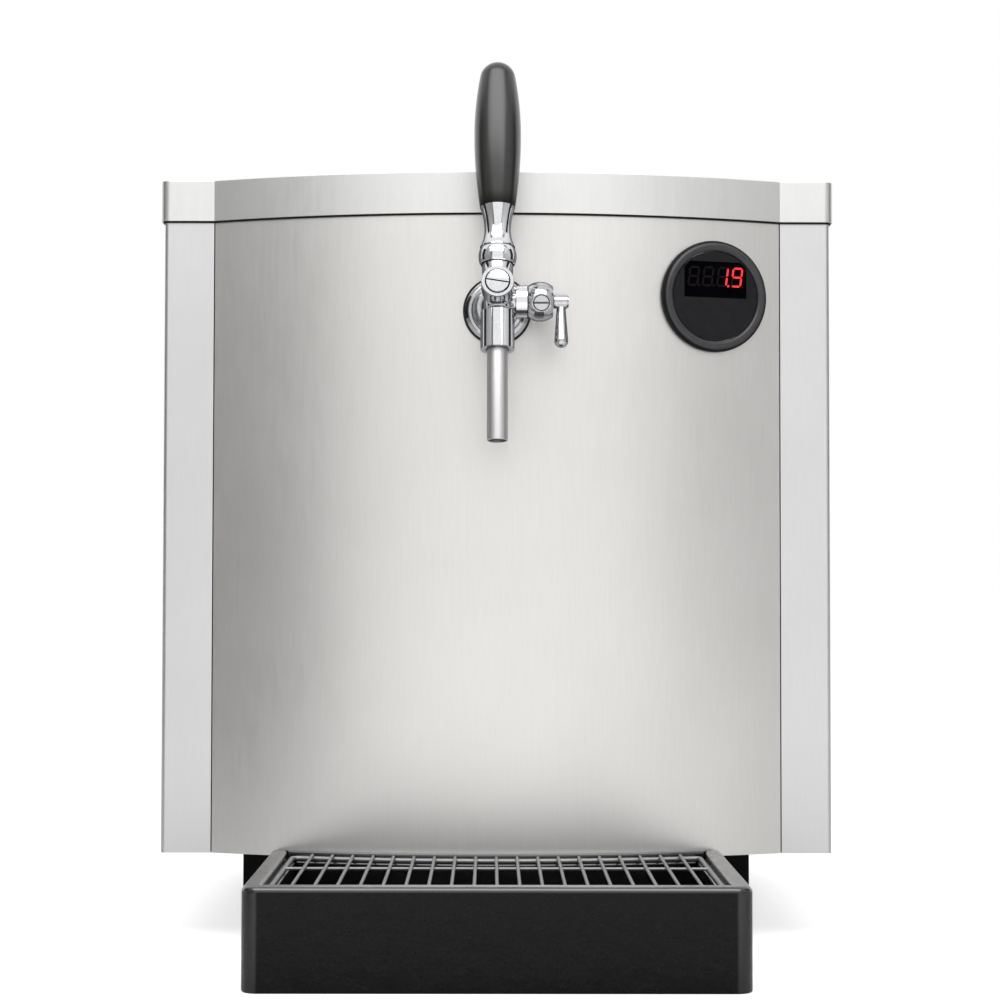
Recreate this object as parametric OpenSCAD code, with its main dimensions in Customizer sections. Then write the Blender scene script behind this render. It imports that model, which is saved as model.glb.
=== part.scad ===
// Countertop draft beer cooler with one compensator tap, a round thermometer and a drip tray.
// Frame: X to the right, Y to the rear, Z up, origin on the counter under the centre of the footprint.

/* [Cabinet] */
// Width of the cabinet over both side panels
body_w = 470; // [430:5:520]
// Depth of the cabinet from the pillar fronts to the rear edge
body_d = 400; // [380:5:460]
// Height of the front panel between its lower edge and the lid
panel_h = 444; // [420:2:500]
// Width of each flat pillar beside the curved panel
pillar_w = 35; // [28:1:42]
// How far the curved panel stands out in front of the pillars
panel_bulge = 40; // [30:1:50]
// Thickness of the folded stainless sheet
sheet_t = 1.2; // [1:0.1:1.6]

/* [Lid] */
// Height of the flange around the lid
lid_flange = 28.5; // [24:0.5:36]
// How far the lid stands out past the cabinet on every side
lid_over = 2.5; // [2:0.5:5]

/* [Base] */
// Height of the cabinet's lower edge above the counter
base_h = 60; // [54:1:75]
// Width of the plinth under the cabinet
plinth_w = 352; // [330:2:390]
// Height of the rubber feet
foot_h = 8; // [6:1:12]

/* [Tap] */
// Distance of the shank axis below the lid's lower edge
tap_drop = 68; // [60:1:80]
// Upward tilt of the tap barrel in degrees
tap_tilt = 12; // [8:0.5:14]
// Length of the black handle
handle_len = 104.5; // [80:0.5:120]
// Largest diameter of the black handle
handle_d = 31.5; // [28:0.5:34]
// Diameter of the spout tube
spout_d = 14; // [12:0.5:15]
// Length of the spout below its socket
spout_len = 62; // [50:1:80]
// How far the handle pulls in degrees
handle_pull = 25; // [20:1:28]

/* [Thermometer] */
// Distance of the thermometer's centre from the right edge of the curved panel
display_edge = 48; // [46:1:80]
// Distance of the thermometer's centre below the lid's lower edge
display_drop = 55; // [50:1:70]
// Diameter of the thermometer's bezel
bezel_d = 78; // [70:1:80]

/* [Drip tray] */
// Width of the drip tray
tray_w = 311; // [290:1:325]
// Depth of the drip tray in the middle
tray_d = 186; // [170:1:220]
// Height of the drip tray
tray_h = 64.5; // [62:0.5:80]
// Number of wires across the grille
wire_count = 19; // [15:1:21]
// Diameter of the grille wires
wire_d = 2.2; // [1.8:0.1:2.6]

/* [Hidden] */
$fn = 96;
// Play between pieces that move past each other
run_gap = 0.4;
// Play of a shaft in its bearing, on the radius
shaft_gap = 0.05;
// Allowance of a cut past the surface it opens
past = 1;

// Thin joint line between the curved panel and each pillar
crease_gap = 0.8;
// Half of the curved panel's width
panel_half = body_w / 2 - pillar_w - crease_gap;
// Radius of the curved panel's front
arc_r = (panel_half * panel_half + panel_bulge * panel_bulge) / (2 * panel_bulge);

// Outside bend of the folded sheets
bend_r = 3;
// Gap between the drip tray and the panel behind it
tray_gap = 0.6;
// Depth the inlet fitting and its collet stand out behind the rear panel
inlet_out = 26;
collet_out = 4;
rear_reach = inlet_out + collet_out - sheet_t;

// The pillar fronts, set so that the origin lies in the middle of the footprint
pillar_y = (panel_bulge + tray_gap + tray_d - body_d - rear_reach) / 2;
panel_y = pillar_y - panel_bulge;
arc_y = panel_y + arc_r;
rear_y = pillar_y + body_d;
// Outer face of the rear panel, which lies inside the rear flanges
back_y = rear_y - sheet_t;

// Heights of the cabinet
lid_z = base_h + panel_h;
top_z = lid_z + lid_flange;
under_lid = top_z - sheet_t;
floor_t = 1.5;
floor_z = base_h + floor_t;
// Play between neighbouring sheets
sheet_gap = 0.2;
inner_x = body_w / 2 - sheet_t - sheet_gap;
// Inward flange along the rear edge of each side panel
rear_flange = 22;

// Screws of the cabinet
screw_r = 2;
screw_head_r = 4;
screw_head_h = 2.2;
screw_len = 8;

// A rectangle with a round at each of its four corners
module round_rect(x0, y0, x1, y1, r) {
    translate([x0 + r, y0]) square([x1 - x0 - 2 * r, y1 - y0]);
    translate([x0, y0 + r]) square([x1 - x0, y1 - y0 - 2 * r]);
    for (cx = [x0 + r, x1 - r], cy = [y0 + r, y1 - r]) translate([cx, cy]) circle(r);
}

// The part of a disc concentric with the curved panel that lies in front of a line
module bow(r, half, rear) {
    intersection() {
        translate([0, arc_y]) circle(r, $fn = 360);
        translate([-half, arc_y - r]) square([2 * half, rear - arc_y + r]);
    }
}

// A slot with round ends, lying along X
module slot(len, wide) {
    translate([-(len - wide) / 2, -wide / 2]) square([len - wide, wide]);
    for (side = [-1, 1]) translate([side * (len - wide) / 2, 0]) circle(wide / 2, $fn = 24);
}

// A cylinder that runs along Y from one depth to another
module rod_y(r, y0, y1) {
    translate([0, y0, 0]) rotate([-90, 0, 0]) cylinder(r = r, h = y1 - y0);
}

// A cylinder that runs along X from one place to another
module rod_x(r, x0, x1) {
    translate([x0, 0, 0]) rotate([0, 90, 0]) cylinder(r = r, h = x1 - x0);
}

// A profile of radius and depth turned about the Y axis, depth counted to the front
module turned_to_front() {
    rotate([90, 0, 0]) rotate_extrude() children();
}

// A round tube bent at right angles through a list of points
function unit(v) = v / norm(v);
module tube_run(points, r, bend) {
    last = len(points) - 1;
    for (i = [0 : last - 1]) {
        way = unit(points[i + 1] - points[i]);
        from = points[i] + (i == 0 ? 0 : bend) * way;
        to = points[i + 1] - (i == last - 1 ? 0 : bend) * way;
        side = abs(way.z) > 0.5 ? [1, 0, 0] : [0, 0, 1];
        other = cross(way, side);
        multmatrix([
            [side.x, other.x, way.x, from.x],
            [side.y, other.y, way.y, from.y],
            [side.z, other.z, way.z, from.z],
            [0, 0, 0, 1]
        ]) cylinder(r = r, h = norm(to - from), $fn = 32);
    }
    for (i = [1 : 1 : last - 1]) {
        came = unit(points[i] - points[i - 1]);
        goes = unit(points[i + 1] - points[i]);
        turn = cross(came, goes);
        mid = points[i] - bend * came + bend * goes;
        multmatrix([
            [-goes.x, came.x, turn.x, mid.x],
            [-goes.y, came.y, turn.y, mid.y],
            [-goes.z, came.z, turn.z, mid.z],
            [0, 0, 0, 1]
        ]) rotate_extrude(angle = 90) translate([bend, 0]) circle(r, $fn = 32);
    }
}

// Places shared by the cabinet sheets and what is fixed to them
return_d = 14;
lid_screw_front = 120;
lid_screw_rear = 100;
lid_screw_y = [pillar_y + lid_screw_front, rear_y - lid_screw_rear];
lid_screw_z = lid_z + lid_flange / 2;
rear_screw_x = body_w / 2 - rear_flange / 2;
rear_screw_up = 40;
rear_screw_down = 30;
rear_screw_z = [base_h + rear_screw_up, (base_h + lid_z) / 2, lid_z - rear_screw_down];
tap_z = lid_z - tap_drop;
shank_r = 10.5;
display_z = lid_z - display_drop;
display_x = panel_half - display_edge;
display_a = asin(display_x / arc_r);
case_inset = 8;
case_r = bezel_d / 2 - case_inset;

// A pan-head screw along Z with its head above the surface
module screw() {
    recess_w = 0.9;
    recess_d = 1.2;
    difference() {
        cylinder(r = screw_head_r, h = screw_head_h, $fn = 32);
        for (turn = [0, 90]) rotate([0, 0, turn])
            translate([-screw_head_r / 2, -recess_w / 2, screw_head_h - recess_d])
                cube([screw_head_r, recess_w, recess_d + past]);
    }
    translate([0, 0, -screw_len]) cylinder(r = screw_r, h = screw_len, $fn = 32);
}

// The thermometer's own frame on the curved panel, with its front to local -Y
module at_display() {
    translate([0, arc_y, display_z]) rotate([0, 0, display_a]) translate([0, -arc_r, 0]) children();
}

module base_pan() {
    flange_h = 20;
    pan_front = pillar_y + return_d + sheet_gap;
    pan_rear = back_y - sheet_t - sheet_gap;
    bow_half = panel_half - sheet_t - sheet_gap;
    color("silver") {
        translate([0, 0, base_h]) linear_extrude(floor_t) {
            translate([-inner_x, pan_front]) square([2 * inner_x, pan_rear - pan_front]);
            bow(arc_r - sheet_t - sheet_gap, bow_half, pan_front + past);
        }
        translate([-inner_x, pan_rear - floor_t, floor_z]) cube([2 * inner_x, floor_t, flange_h]);
        for (x = [-inner_x, inner_x - floor_t])
            translate([x, pan_front, floor_z]) cube([floor_t, pan_rear - pan_front, flange_h]);
    }
}

// The plinth stands just behind the face of the curved panel
plinth_set = 0.2;
plinth_back = 12;
plinth_rear = rear_y - plinth_back;
plinth_wall = 2;
foot_top_r = 17;
foot_in = 30;
foot_front = 26;
foot_x = plinth_w / 2 - foot_in;
foot_y = [pillar_y + foot_front, plinth_rear - foot_in];
stud_r = 3;

module plinth_outline(inset) {
    bow(arc_r - plinth_set - inset, plinth_w / 2 - inset, plinth_rear - inset);
}

module plinth() {
    color("dimgray") difference() {
        translate([0, 0, foot_h]) linear_extrude(base_h - foot_h) plinth_outline(0);
        translate([0, 0, foot_h + plinth_wall]) linear_extrude(base_h) plinth_outline(plinth_wall);
        for (x = [-foot_x, foot_x], y = foot_y) translate([x, y, 0])
            cylinder(r = stud_r + shaft_gap, h = base_h - past, $fn = 32);
    }
}

module feet() {
    foot_low_r = 14;
    foot_edge = 1;
    color("black") for (x = [-foot_x, foot_x], y = foot_y) translate([x, y, 0]) rotate_extrude()
        polygon([[0, 0], [foot_low_r, 0], [foot_low_r + foot_edge, foot_edge], [foot_top_r, foot_h],
            [stud_r, foot_h], [stud_r, foot_h + plinth_wall], [0, foot_h + plinth_wall]]);
}

// A rectangle with a round at its front left corner
module bent_corner(x0, y0, x1, y1, r) {
    translate([x0 + r, y0]) square([x1 - x0 - r, y1 - y0]);
    translate([x0, y0 + r]) square([x1 - x0, y1 - y0 - r]);
    translate([x0 + r, y0 + r]) circle(r);
}

// Vent slots of the cabinet sheets
vent_wide = 5;
vent_step = 14;
side_vents = 10;
side_vent_len = 110;
side_vent_back = 120;
rear_vents = 15;
rear_vent_len = 84;
vent_low = 44;

module left_side() {
    x0 = -body_w / 2;
    crease = x0 + pillar_w;
    vent_y = rear_y - side_vent_back;
    color("silver") difference() {
        translate([0, 0, base_h]) linear_extrude(under_lid - base_h) {
            difference() {
                bent_corner(x0, pillar_y, crease, rear_y, bend_r);
                bent_corner(x0 + sheet_t, pillar_y + sheet_t, crease + past, rear_y + past, bend_r - sheet_t);
            }
            translate([crease - sheet_t, pillar_y]) square([sheet_t, return_d]);
            translate([x0, rear_y - sheet_t]) square([rear_flange, sheet_t]);
        }
        for (i = [0 : side_vents - 1]) translate([x0 - past, vent_y, floor_z + vent_low + i * vent_step])
            rotate([90, 0, 90]) linear_extrude(sheet_t + 2 * past) slot(side_vent_len, vent_wide);
        for (y = lid_screw_y) translate([x0 - past, y, lid_screw_z])
            rotate([0, 90, 0]) cylinder(r = screw_r + shaft_gap, h = sheet_t + 2 * past, $fn = 32);
        for (z = rear_screw_z) translate([-rear_screw_x, 0, z])
            rod_y(screw_r + shaft_gap, rear_y - sheet_t - past, rear_y + past);
    }
}

module right_side() {
    mirror([1, 0, 0]) left_side();
}

module front_panel() {
    hole_past = 6;
    color("gainsboro") difference() {
        translate([0, 0, base_h]) linear_extrude(under_lid - base_h) {
            difference() {
                bow(arc_r, panel_half, pillar_y + return_d / 2);
                bow(arc_r - sheet_t, panel_half + past, pillar_y + return_d);
            }
            for (x = [-panel_half, panel_half - sheet_t]) translate([x, pillar_y])
                square([sheet_t, return_d]);
        }
        translate([0, 0, tap_z]) rod_y(shank_r + shaft_gap, panel_y - hole_past, panel_y + hole_past);
        at_display() rod_y(case_r + shaft_gap, -hole_past, hole_past);
    }
}

// Places of what the rear panel carries
condenser_x = 92;
inlet_x = 120;
inlet_drop = 70;
inlet_z = lid_z - inlet_drop;
knob_x = -60;
knob_drop = 70;
knob_z = lid_z - knob_drop;
switch_x = -130;
switch_drop = 60;
switch_z = lid_z - switch_drop;
power_x = -130;
power_drop = 110;
power_z = lid_z - power_drop;
fitting_r = 8;
knob_shaft_r = 3;
switch_cut = [27, 21];
power_cut = [30, 24];

module rear_panel() {
    cut_y0 = back_y - sheet_t - past;
    cut_y1 = back_y + past;
    column = 52;
    color("silver") difference() {
        translate([-inner_x, back_y - sheet_t, base_h]) cube([2 * inner_x, sheet_t, under_lid - base_h]);
        for (i = [0 : rear_vents - 1], side = [-1, 1])
            translate([condenser_x + side * column, cut_y1, floor_z + vent_low + i * vent_step])
                rotate([90, 0, 0]) linear_extrude(cut_y1 - cut_y0) slot(rear_vent_len, vent_wide);
        for (x = [-rear_screw_x, rear_screw_x], z = rear_screw_z)
            translate([x, 0, z]) rod_y(screw_r + shaft_gap, cut_y0, cut_y1);
        translate([inlet_x, 0, inlet_z]) rod_y(fitting_r + shaft_gap, cut_y0, cut_y1);
        translate([knob_x, 0, knob_z]) rod_y(knob_shaft_r + run_gap, cut_y0, cut_y1);
        translate([switch_x - switch_cut.x / 2, cut_y0, switch_z - switch_cut.y / 2])
            cube([switch_cut.x, cut_y1 - cut_y0, switch_cut.y]);
        translate([power_x - power_cut.x / 2, cut_y0, power_z - power_cut.y / 2])
            cube([power_cut.x, cut_y1 - cut_y0, power_cut.y]);
    }
}

module lid_outline(over, r) {
    round_rect(-body_w / 2 - over, pillar_y - over, body_w / 2 + over, rear_y + over, r);
    bow(arc_r + over, panel_half, pillar_y);
}

module lid() {
    flange_x = body_w / 2 + lid_over;
    color("whitesmoke") difference() {
        translate([0, 0, lid_z]) linear_extrude(lid_flange) lid_outline(lid_over, bend_r);
        translate([0, 0, lid_z - past]) linear_extrude(lid_flange - sheet_t + past)
            lid_outline(lid_over - sheet_t, bend_r - sheet_t);
        for (y = lid_screw_y) translate([0, y, lid_screw_z])
            rod_x(screw_r + shaft_gap, -flange_x - past, flange_x + past);
    }
}

module lid_screws() {
    color("gray") for (side = [-1, 1], y = lid_screw_y)
        translate([side * (body_w / 2 + lid_over), y, lid_screw_z]) rotate([0, side * 90, 0]) screw();
}

module rear_screws() {
    color("gray") for (x = [-rear_screw_x, rear_screw_x], z = rear_screw_z)
        translate([x, rear_y, z]) rotate([-90, 0, 0]) screw();
}

// Lengths of the tap along its shank, counted to the front from the panel
gasket_t = 2;
rosette_front = 11;
barrel_root = 24;
coupling_front = 22.6;
bore_r = 5;
tail_r = 10.4;
// Lengths along the tilted barrel, counted to the front from its root
barrel_r = 9.5;
chamber_r = 6.5;
chamber_rear = -4;
cone_rear = 2;
cone_front = 9.5;
compensator_s = 11;
seat_rear = 22;
seat_front = 25;
outlet_s = 31;
lever_s = 42;
piston_rear = 38;
piston_front = 46.5;
plug_rear = 47;
boss_front = 53;
plug_front = 54;
plug_r = 8.4;
// Heights over the barrel axis
collar_low = 15;
collar_high = 26.3;
pivot_h = (collar_low + collar_high) / 2;
tip_h = 4;
ferrule_high = 55;
// Radii of the lever's ball joint
ball_r = 8.2;
collar_r = 12.7;
neck_r = 4;
arm_r = 1.6;
tip_r = 2.4;
valve_stroke = (pivot_h - tip_h) * sin(handle_pull);
// The compensator beside the barrel
housing_x0 = 20.1;
housing_x1 = 37.5;
housing_r = 13.4;
spindle_r = 3;
spindle_in = 7;
cone_stroke = 4;
// The spout and its socket below the barrel
socket_r = 11.3;
socket_high = -12.5;
socket_low = -40.5;
spout_in = 22;
spout_r = spout_d / 2;
spout_wall = 1;
// Angle through which the spout bends to the front, in degrees
spout_bend = 3.6;

// The tap's frame on the panel, with its front to local -Y
module at_tap() {
    translate([0, panel_y, tap_z]) children();
}

// The frame of the tilted barrel
module at_barrel() {
    at_tap() translate([0, -barrel_root, 0]) rotate([-tap_tilt, 0, 0]) children();
}

// A cylinder along the tap, from one length to another counted to the front
module rod_front(r, s0, s1) {
    rod_y(r, -s1, -s0);
}

module rosette_gasket() {
    gasket_r = 23.6;
    color("black") at_tap() difference() {
        rod_front(gasket_r, 0, gasket_t);
        rod_front(shank_r + shaft_gap, -past, gasket_t + past);
    }
}

module rosette() {
    hole = shank_r + shaft_gap;
    rim_r = 22.2;
    step_r = 17.4;
    hub_r = 14.6;
    rim_s = 5.2;
    step_s = 9.4;
    edge = 1;
    color("lightgray") at_tap() turned_to_front() polygon([
        [hole, gasket_t], [rim_r, gasket_t], [rim_r, rim_s - edge], [rim_r - edge, rim_s],
        [step_r, rim_s], [step_r, step_s - edge], [step_r - edge, step_s],
        [hub_r, step_s], [hub_r, rosette_front], [hole, rosette_front]
    ]);
}

shank_rear = -52;

module tap_shank() {
    color("lightgray") at_tap() difference() {
        rod_front(shank_r, shank_rear, rosette_front);
        rod_front(bore_r, shank_rear - past, rosette_front + past);
    }
}

module shank_nut() {
    nut_r = 18.5;
    nut_t = 8;
    seat = sheet_t + nut_r * nut_r / (2 * arc_r) + shaft_gap;
    color("goldenrod") at_tap() difference() {
        translate([0, seat, 0]) rotate([-90, 0, 0]) linear_extrude(nut_t) circle(nut_r, $fn = 6);
        rod_front(shank_r + shaft_gap, shank_rear, 0);
    }
}

module coupling_nut() {
    hole = tail_r + shaft_gap;
    ring_r = 15;
    edge = 1.2;
    color("lightgray") at_tap() turned_to_front() polygon([
        [hole, rosette_front], [ring_r - edge, rosette_front], [ring_r, rosette_front + edge],
        [ring_r, coupling_front - 2 * edge], [ring_r - edge, coupling_front], [hole, coupling_front]
    ]);
}

module tap_body() {
    boss_rear = 37;
    boss_r = 10.9;
    boss_edge = 0.8;
    neck_top_r = 10.3;
    throat_r = 9.2;
    socket_edge = 2;
    arm_out_r = 11;
    arm_in_x = 12.7;
    arm_in_r = 8;
    outlet_r = 3.6;
    lever_half = 3.2;
    lever_low = 2;
    front_y = -lever_s - tip_r - run_gap;
    swing = tan(handle_pull);
    rear_y_low = -lever_s + (pivot_h - lever_low) * swing + tip_r + 2 * run_gap;
    color("lightgray") difference() {
        union() {
            at_tap() rod_front(tail_r, rosette_front, barrel_root);
            at_barrel() {
                sphere(r = tail_r);
                rod_front(barrel_r, 0, boss_rear + past);
                rod_front(boss_r, boss_rear, boss_front - boss_edge);
                rod_front(boss_r - boss_edge / 2, boss_rear, boss_front);
                translate([0, -lever_s, 0]) cylinder(r = neck_top_r, h = collar_low);
                translate([0, -outlet_s, 0]) rotate_extrude() polygon([
                    [0, 0], [throat_r, 0], [throat_r, socket_high], [socket_r, socket_high - socket_edge],
                    [socket_r, socket_low], [0, socket_low]
                ]);
                translate([0, -compensator_s, 0]) {
                    rod_x(arm_in_r, 0, arm_in_x);
                    rod_x(arm_out_r, arm_in_x, housing_x0);
                }
            }
        }
        at_tap() rod_front(bore_r, rosette_front - past, barrel_root);
        at_barrel() {
            rod_front(bore_r, chamber_rear, boss_front);
            rod_front(chamber_r, chamber_rear, seat_rear);
            rod_front(chamber_r, seat_front, boss_front);
            rod_front(plug_r + shaft_gap, plug_rear, boss_front + past);
            translate([0, -outlet_s, socket_low]) cylinder(r = outlet_r, h = -socket_low);
            translate([0, -outlet_s, socket_low - past])
                cylinder(r = spout_r + shaft_gap, h = spout_in + past);
            translate([0, -compensator_s, 0]) rod_x(spindle_r + shaft_gap, 0, housing_x0 + past);
            translate([0, -lever_s, pivot_h]) sphere(r = ball_r + run_gap);
            translate([-lever_half, 0, 0]) rotate([90, 0, 90]) linear_extrude(2 * lever_half) polygon([
                [front_y, lever_low], [rear_y_low, lever_low],
                [-lever_s + tip_r + run_gap, pivot_h], [front_y, pivot_h]
            ]);
        }
    }
}

module tap_collar() {
    hole = neck_r + run_gap;
    rise = collar_high - pivot_h + past;
    lean = rise * tan(handle_pull);
    wide = hole / cos(handle_pull);
    color("lightgray") at_barrel() translate([0, -lever_s, pivot_h]) difference() {
        intersection() {
            sphere(r = collar_r);
            translate([0, 0, collar_low - pivot_h])
                cylinder(r = 2 * collar_r, h = collar_high - collar_low);
        }
        sphere(r = ball_r + run_gap);
        translate([0, 0, collar_low - pivot_h - past])
            cylinder(r = ball_r + run_gap, h = pivot_h - collar_low + past);
        cylinder(r = hole, h = rise);
        translate([-hole, 0, 0]) rotate([90, 0, 90]) linear_extrude(2 * hole) polygon([
            [0, 0], [0, rise], [-lean - wide, rise], [-wide, 0]
        ]);
    }
}

module front_plug() {
    face_r = 7.5;
    slot_w = 0.9;
    slot_d = 1.5;
    slot_turn = 9;
    groove_d = 2;
    thread_front = boss_front - groove_d;
    color("lightgray") at_barrel() difference() {
        union() {
            rod_front(plug_r, plug_rear, thread_front);
            rod_front(face_r, thread_front, plug_front);
        }
        rotate([0, slot_turn, 0]) translate([-plug_r, -plug_front - past, -slot_w / 2])
            cube([2 * plug_r, slot_d + past, slot_w]);
    }
}

module spout() {
    lead = 4;
    bend_len = spout_len - lead;
    curve_r = bend_len / (spout_bend * PI / 180);
    color("silver") at_barrel() translate([0, -outlet_s, socket_low]) {
        translate([0, 0, -lead]) difference() {
            cylinder(r = spout_r, h = spout_in + lead);
            translate([0, 0, -past]) cylinder(r = spout_r - spout_wall, h = spout_in + lead + 2 * past);
        }
        multmatrix([
            [0, 0, 1, 0],
            [-1, 0, 0, curve_r],
            [0, -1, 0, -lead],
            [0, 0, 0, 1]
        ]) rotate_extrude(angle = spout_bend, $fn = 360) translate([curve_r, 0]) difference() {
            circle(spout_r);
            circle(spout_r - spout_wall);
        }
    }
}

// The stop screw in the housing, with lengths counted to the front from the housing's middle
stop_turn = 22;
stop_x = 29.5;
stop_seat = 11;
stop_r = 4.9;
stop_neck_r = 3;
stop_deep = 5;

// The frame of the stop screw
module at_stop() {
    at_barrel() translate([stop_x, -compensator_s, 0]) rotate([stop_turn, 0, 0]) children();
}

module compensator_housing() {
    middle = (housing_x0 + housing_x1) / 2;
    recess_r = 5.6;
    color("lightgray") difference() {
        at_barrel() translate([0, -compensator_s, 0]) difference() {
            intersection() {
                translate([middle, 0, 0]) sphere(r = housing_r);
                rod_x(2 * housing_r, housing_x0, housing_x1);
            }
            rod_x(spindle_r + shaft_gap, 0, housing_x1 + past);
        }
        at_stop() {
            rod_front(recess_r, stop_seat, stop_seat + housing_r);
            rod_front(stop_neck_r + shaft_gap, stop_seat - stop_deep, stop_seat + past);
        }
    }
}

module compensator_screw() {
    face_t = 1.7;
    slot_w = 1.3;
    slot_d = 1.1;
    front = stop_seat + face_t;
    color("silver") at_stop() difference() {
        union() {
            rod_front(stop_r, stop_seat, front);
            rod_front(stop_neck_r, stop_seat - stop_deep, stop_seat);
        }
        translate([-stop_r, -front - past, -slot_w / 2]) cube([2 * stop_r, slot_d + past, slot_w]);
    }
}

module tap_lever() {
    ferrule_r = 11.65;
    waist_r = 8.7;
    waist_h = 39;
    cup_r = collar_r + run_gap;
    rim_band = 0.8;
    rim_h = pivot_h + sqrt(cup_r * cup_r - ferrule_r * ferrule_r) + rim_band;
    inset = ferrule_r - waist_r;
    low_curve = (pow(waist_h - rim_h, 2) + inset * inset) / (2 * inset);
    high_curve = (pow(ferrule_high - waist_h, 2) + inset * inset) / (2 * inset);
    color("lightgray") at_barrel() translate([0, -lever_s, 0]) {
        difference() {
            rotate_extrude() difference() {
                translate([0, pivot_h]) square([ferrule_r, ferrule_high - pivot_h]);
                intersection() {
                    translate([waist_r + low_curve, waist_h]) circle(low_curve, $fn = 180);
                    translate([0, pivot_h]) square([2 * ferrule_r, waist_h - pivot_h]);
                }
                intersection() {
                    translate([waist_r + high_curve, waist_h]) circle(high_curve, $fn = 360);
                    translate([0, waist_h]) square([2 * ferrule_r, ferrule_high - waist_h + past]);
                }
            }
            translate([0, 0, pivot_h]) sphere(r = cup_r);
        }
        translate([0, 0, pivot_h]) {
            sphere(r = ball_r);
            cylinder(r = neck_r, h = cup_r + past);
        }
        translate([0, 0, tip_h]) {
            cylinder(r = arm_r, h = pivot_h - tip_h);
            sphere(r = tip_r);
        }
    }
}

module tap_handle() {
    foot_r = 11.7;
    shoulder_r = 12;
    widest = 52;
    nose = 10.5;
    shoulder = handle_len - nose;
    wide_r = handle_d / 2;
    low_in = wide_r - foot_r;
    low_curve = (widest * widest + low_in * low_in) / (2 * low_in);
    high_in = wide_r - shoulder_r;
    high_curve = (pow(shoulder - widest, 2) + high_in * high_in) / (2 * high_in);
    nose_curve = (shoulder_r * shoulder_r + nose * nose) / (2 * nose);
    color("black") at_barrel() translate([0, -lever_s, ferrule_high]) rotate_extrude() {
        intersection() {
            square([wide_r, widest]);
            translate([wide_r - low_curve, widest]) circle(low_curve, $fn = 360);
        }
        intersection() {
            translate([0, widest]) square([wide_r, handle_len - widest]);
            translate([wide_r - high_curve, widest]) circle(high_curve, $fn = 360);
            union() {
                square([wide_r, shoulder]);
                translate([0, handle_len - nose_curve]) circle(nose_curve);
            }
        }
    }
}

seal_t = 3;
seal_rear = seat_rear - run_gap - seal_t;
seal_front = seat_rear - run_gap;
stem_r = 2.5;

module valve_stem() {
    head_r = 4;
    head_t = 1;
    pocket = tip_r + run_gap + 2 * shaft_gap;
    color("silver") at_barrel() difference() {
        union() {
            rod_front(head_r, seal_rear - head_t, seal_rear);
            rod_front(stem_r, seal_rear, piston_rear + past);
            rod_front(chamber_r - shaft_gap, piston_rear, piston_front);
        }
        translate([-pocket, -lever_s - pocket, tip_h - pocket])
            cube([2 * pocket, 2 * pocket, chamber_r + pocket]);
    }
}

module valve_seal() {
    seal_r = chamber_r - run_gap;
    color("black") at_barrel() difference() {
        rod_front(seal_r, seal_rear, seal_front);
        rod_front(stem_r + shaft_gap, seal_rear - past, seal_front + past);
    }
}

module flow_lever() {
    knob_r = 4.7;
    knob_x0 = housing_x1 + run_gap;
    knob_x1 = 48;
    edge = 0.8;
    grip_high = -3;
    grip_low = -27.8;
    grip_thin = 2.9;
    grip_thick = 4.65;
    color("lightgray") at_barrel() translate([0, -compensator_s, 0]) {
        rod_x(spindle_r, spindle_in, knob_x0 + past);
        rod_x(knob_r, knob_x0, knob_x1 - edge);
        rod_x(knob_r - edge, knob_x0, knob_x1);
        translate([(knob_x0 + knob_x1) / 2, 0, 0]) {
            translate([0, 0, grip_low])
                cylinder(r1 = grip_thick, r2 = grip_thin, h = grip_high - grip_low);
            translate([0, 0, grip_low]) sphere(r = grip_thick);
        }
    }
}

module compensator_cone() {
    wide_r = chamber_r - run_gap;
    thin_r = 4;
    land = 2;
    color("white") at_barrel() rotate([90, 0, 0]) rotate_extrude() polygon([
        [0, cone_rear], [thin_r, cone_rear],
        [wide_r, cone_front - land], [wide_r, cone_front], [0, cone_front]
    ]);
}

// Layers of the thermometer, counted to the front from the panel
bezel_r = bezel_d / 2;
bezel_w = 7.6;
bezel_in_r = bezel_r - bezel_w;
case_front = 2;
face_front = 4;
window_front = 3.7;
segment_t = 0.15;
window_w = 42;
window_h = 24.5;
window_up = 9.6;

module bezel() {
    rim = 3;
    crown = 6;
    slope = 2.2;
    color("dimgray") at_display() difference() {
        turned_to_front() polygon([
            [bezel_in_r, -rim], [bezel_r, -rim], [bezel_r, rim], [bezel_r - slope, crown],
            [bezel_in_r + slope, crown], [bezel_in_r, crown - slope]
        ]);
        translate([0, arc_r, -2 * bezel_r]) cylinder(r = arc_r, h = 4 * bezel_r, $fn = 360);
        rod_front(case_r + shaft_gap, -rim - past, case_front);
    }
}

module display_case() {
    case_rear = -38;
    color("black") at_display() rod_front(case_r, case_rear, case_front);
}

module display_nut() {
    ring_w = 6;
    ring_r = case_r + ring_w;
    ring_t = 6;
    seat = sheet_t + ring_r * ring_r / (2 * arc_r) + shaft_gap;
    color("black") at_display() difference() {
        rod_front(ring_r, -seat - ring_t, -seat);
        rod_front(case_r + shaft_gap, -seat - ring_t - past, past);
    }
}

module window_cut(grow, s0, s1) {
    translate([-window_w / 2 - grow, -s1, window_up - window_h / 2 - grow])
        cube([window_w + 2 * grow, s1 - s0, window_h + 2 * grow]);
}

module display_face() {
    color("black") at_display() difference() {
        rod_front(bezel_in_r - shaft_gap, case_front, face_front);
        window_cut(shaft_gap, case_front - past, face_front + past);
    }
}

module display_window() {
    color("midnightblue") at_display() window_cut(0, case_front, window_front);
}

// Seven-segment digits, with the bars numbered from the top one clockwise and the middle one last
digit_count = 4;
digit_step = 10.5;
digit_w = 7;
digit_h = 14.2;
bar_half = 0.75;
bar_space = 0.3;
digit_lean = 8;
point_off = 1.8;
point_r = 0.82;
point_bar = 7;
lit_bars = [[], [], [1, 2, point_bar], [0, 1, 2, 3, 5, 6]];

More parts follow.
